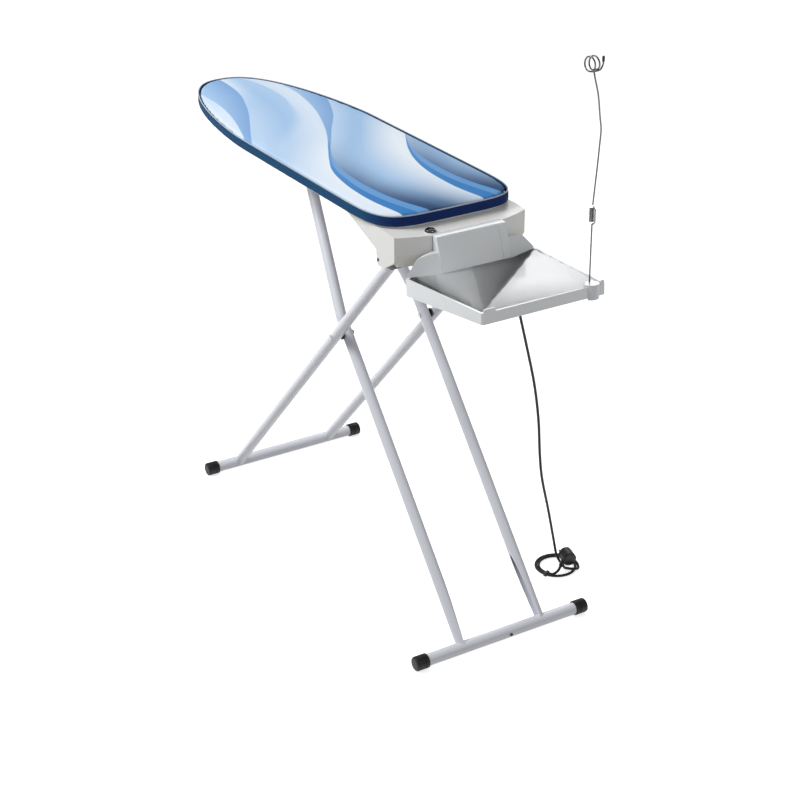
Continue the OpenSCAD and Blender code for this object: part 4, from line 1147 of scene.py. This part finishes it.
class BOARD_OT_legs(bpy.types.Operator):
    """Finishes the leg frames: painted tubes, rubber caps, bushings and rivets."""

    bl_idname = "board.legs"
    bl_label = "Legs"

    def execute(self, context):
        for node in ("outer_tubes", "outer_bar", "inner_tubes", "inner_bar"):
            self.finish(node, "leg_paint")
        for node in ("slide_axles", "cross_rivets"):
            self.finish(node, "zinc")
        self.finish("inner_rollers", "shell")
        for node in ("inner_plugs", "cross_spacers", "bar_plug"):
            self.finish(node, "black_plastic")
        bushings = rounded_copy("outer_bushings", 0.8 * MM)
        black = FINISHES["black_plastic"]
        piece("leg_bushings", bushings, "outer_legs", "black_plastic", black, "outer_bushings")
        self.caps("outer_caps", "outer_bar", "outer_legs")
        self.caps("inner_caps", "inner_bar", "inner_legs")
        return {"FINISHED"}

    def finish(self, node, slot):
        obj = frame["nodes"][node]
        obj.data.materials.clear()
        obj.data.materials.append(FINISHES[slot])

    def caps(self, node, bar, body):
        """Rubber caps with two grip ribs on each end of a floor bar."""
        low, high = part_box(node)
        bar_low, bar_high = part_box(bar)
        reach = (high.z - low.z) / 2
        inside = (bar_high.z - bar_low.z) / 2 + 0.05 * MM
        x, z = (low.x + high.x) / 2, (low.z + high.z) / 2
        length = 34 * MM
        profile = [(inside, 0), (reach - 1.0 * MM, 0), (reach - 0.2 * MM, 0.6 * MM), (reach, 1.6 * MM)]
        for rib in (9 * MM, 13 * MM):
            groove = reach - 0.9 * MM
            profile += [(reach, rib), (groove, rib + 0.5 * MM)]
            profile += [(groove, rib + 1.6 * MM), (reach, rib + 2.1 * MM)]
        profile += [(reach, length - 4 * MM), (reach - 0.8 * MM, length - 1.8 * MM)]
        profile += [(reach - 2.6 * MM, length - 0.4 * MM), (reach - 4.5 * MM, length), (0, length)]
        profile += [(0, length - 3 * MM), (inside, length - 3 * MM), (inside, 0)]
        bm = bmesh.new()
        for end in (1, -1):
            cap = lathe(profile, (0, 0, 0), steps=56)
            turned = Matrix.Rotation(math.radians(-90 * end), 4, "X")
            at = Matrix.Translation((x, end * (high.y - length), z)) @ turned
            bmesh.ops.transform(cap, matrix=at, verts=cap.verts)
            mesh = bpy.data.meshes.new("cap")
            cap.to_mesh(mesh)
            cap.free()
            bm.from_mesh(mesh)
            bpy.data.meshes.remove(mesh)
        piece(f"{node}_ribbed", settled(bm), body, "foot", FINISHES["foot"], node, smooth_angle=40)


class BOARD_OT_works(bpy.types.Operator):
    """Gives the working parts under the board and inside the housing their finishes."""

    bl_idname = "board.works"
    bl_label = "Working parts"

    def execute(self, context):
        rows = {
            "plate": ["perforated_plate"],
            "zinc": [
                "housing_screws", "pivot_brackets", "pivot_bolts", "guide_rails", "rail_screws",
                "lever_bracket", "lever_pin",
            ],
            "motor": ["fan_motor"],
            "black_plastic": ["fan_scroll", "impeller", "release_lever"],
            "circuit": ["control_board"],
            "wire": ["lever_spring"],
        }
        for slot, nodes in rows.items():
            for node in nodes:
                obj = frame["nodes"][node]
                obj.data.materials.clear()
                obj.data.materials.append(FINISHES[slot])
        return {"FINISHED"}


# ------------------------------------------------------------------ panel and registration


class BOARD_PT_panel(bpy.types.Panel):
    """Lists the pieces of the ironing board."""

    bl_idname = "BOARD_PT_panel"
    bl_label = "Ironing Board"
    bl_space_type = "VIEW_3D"
    bl_region_type = "UI"
    bl_category = "Ironing Board"

    def draw(self, context):
        column = self.layout.column()
        for operator in OPERATORS:
            column.operator(operator.bl_idname)
        for settings in (context.scene.board_cover, context.scene.board_stage):
            for name in settings.bl_rna.properties.keys():
                if name not in ("rna_type", "name"):
                    column.prop(settings, name)


OPERATORS = (
    BOARD_OT_stage,
    BOARD_OT_lead,
    BOARD_OT_cover,
    BOARD_OT_shells,
    BOARD_OT_tray,
    BOARD_OT_holder,
    BOARD_OT_legs,
    BOARD_OT_works,
)
GROUPS = {"board_cover": CoverSettings, "board_stage": StageSettings}


def register():
    for group in GROUPS.values():
        bpy.utils.register_class(group)
    for name, group in GROUPS.items():
        setattr(bpy.types.Scene, name, PointerProperty(type=group))
    for operator in OPERATORS:
        bpy.utils.register_class(operator)
    bpy.utils.register_class(BOARD_PT_panel)


def unregister():
    bpy.utils.unregister_class(BOARD_PT_panel)
    for operator in reversed(OPERATORS):
        bpy.utils.unregister_class(operator)
    for name, group in GROUPS.items():
        delattr(bpy.types.Scene, name)
        bpy.utils.unregister_class(group)


def main():
    register()
    FINISHES.update(make_finishes())
    FINISHES["thread"] = cord_cloth("hem_thread", "24507A", "0E2C4A")
    FINISHES["bright"] = bare_metal("dial_chrome", "E6E8EC", 0.14)
    bpy.ops.board.stage()
    bpy.ops.board.lead()
    bpy.ops.board.cover()
    bpy.ops.board.shells()
    bpy.ops.board.tray()
    bpy.ops.board.holder()
    bpy.ops.board.legs()
    bpy.ops.board.works()
    bpy.context.view_layer.update()


if __name__ == "__main__":
    main()
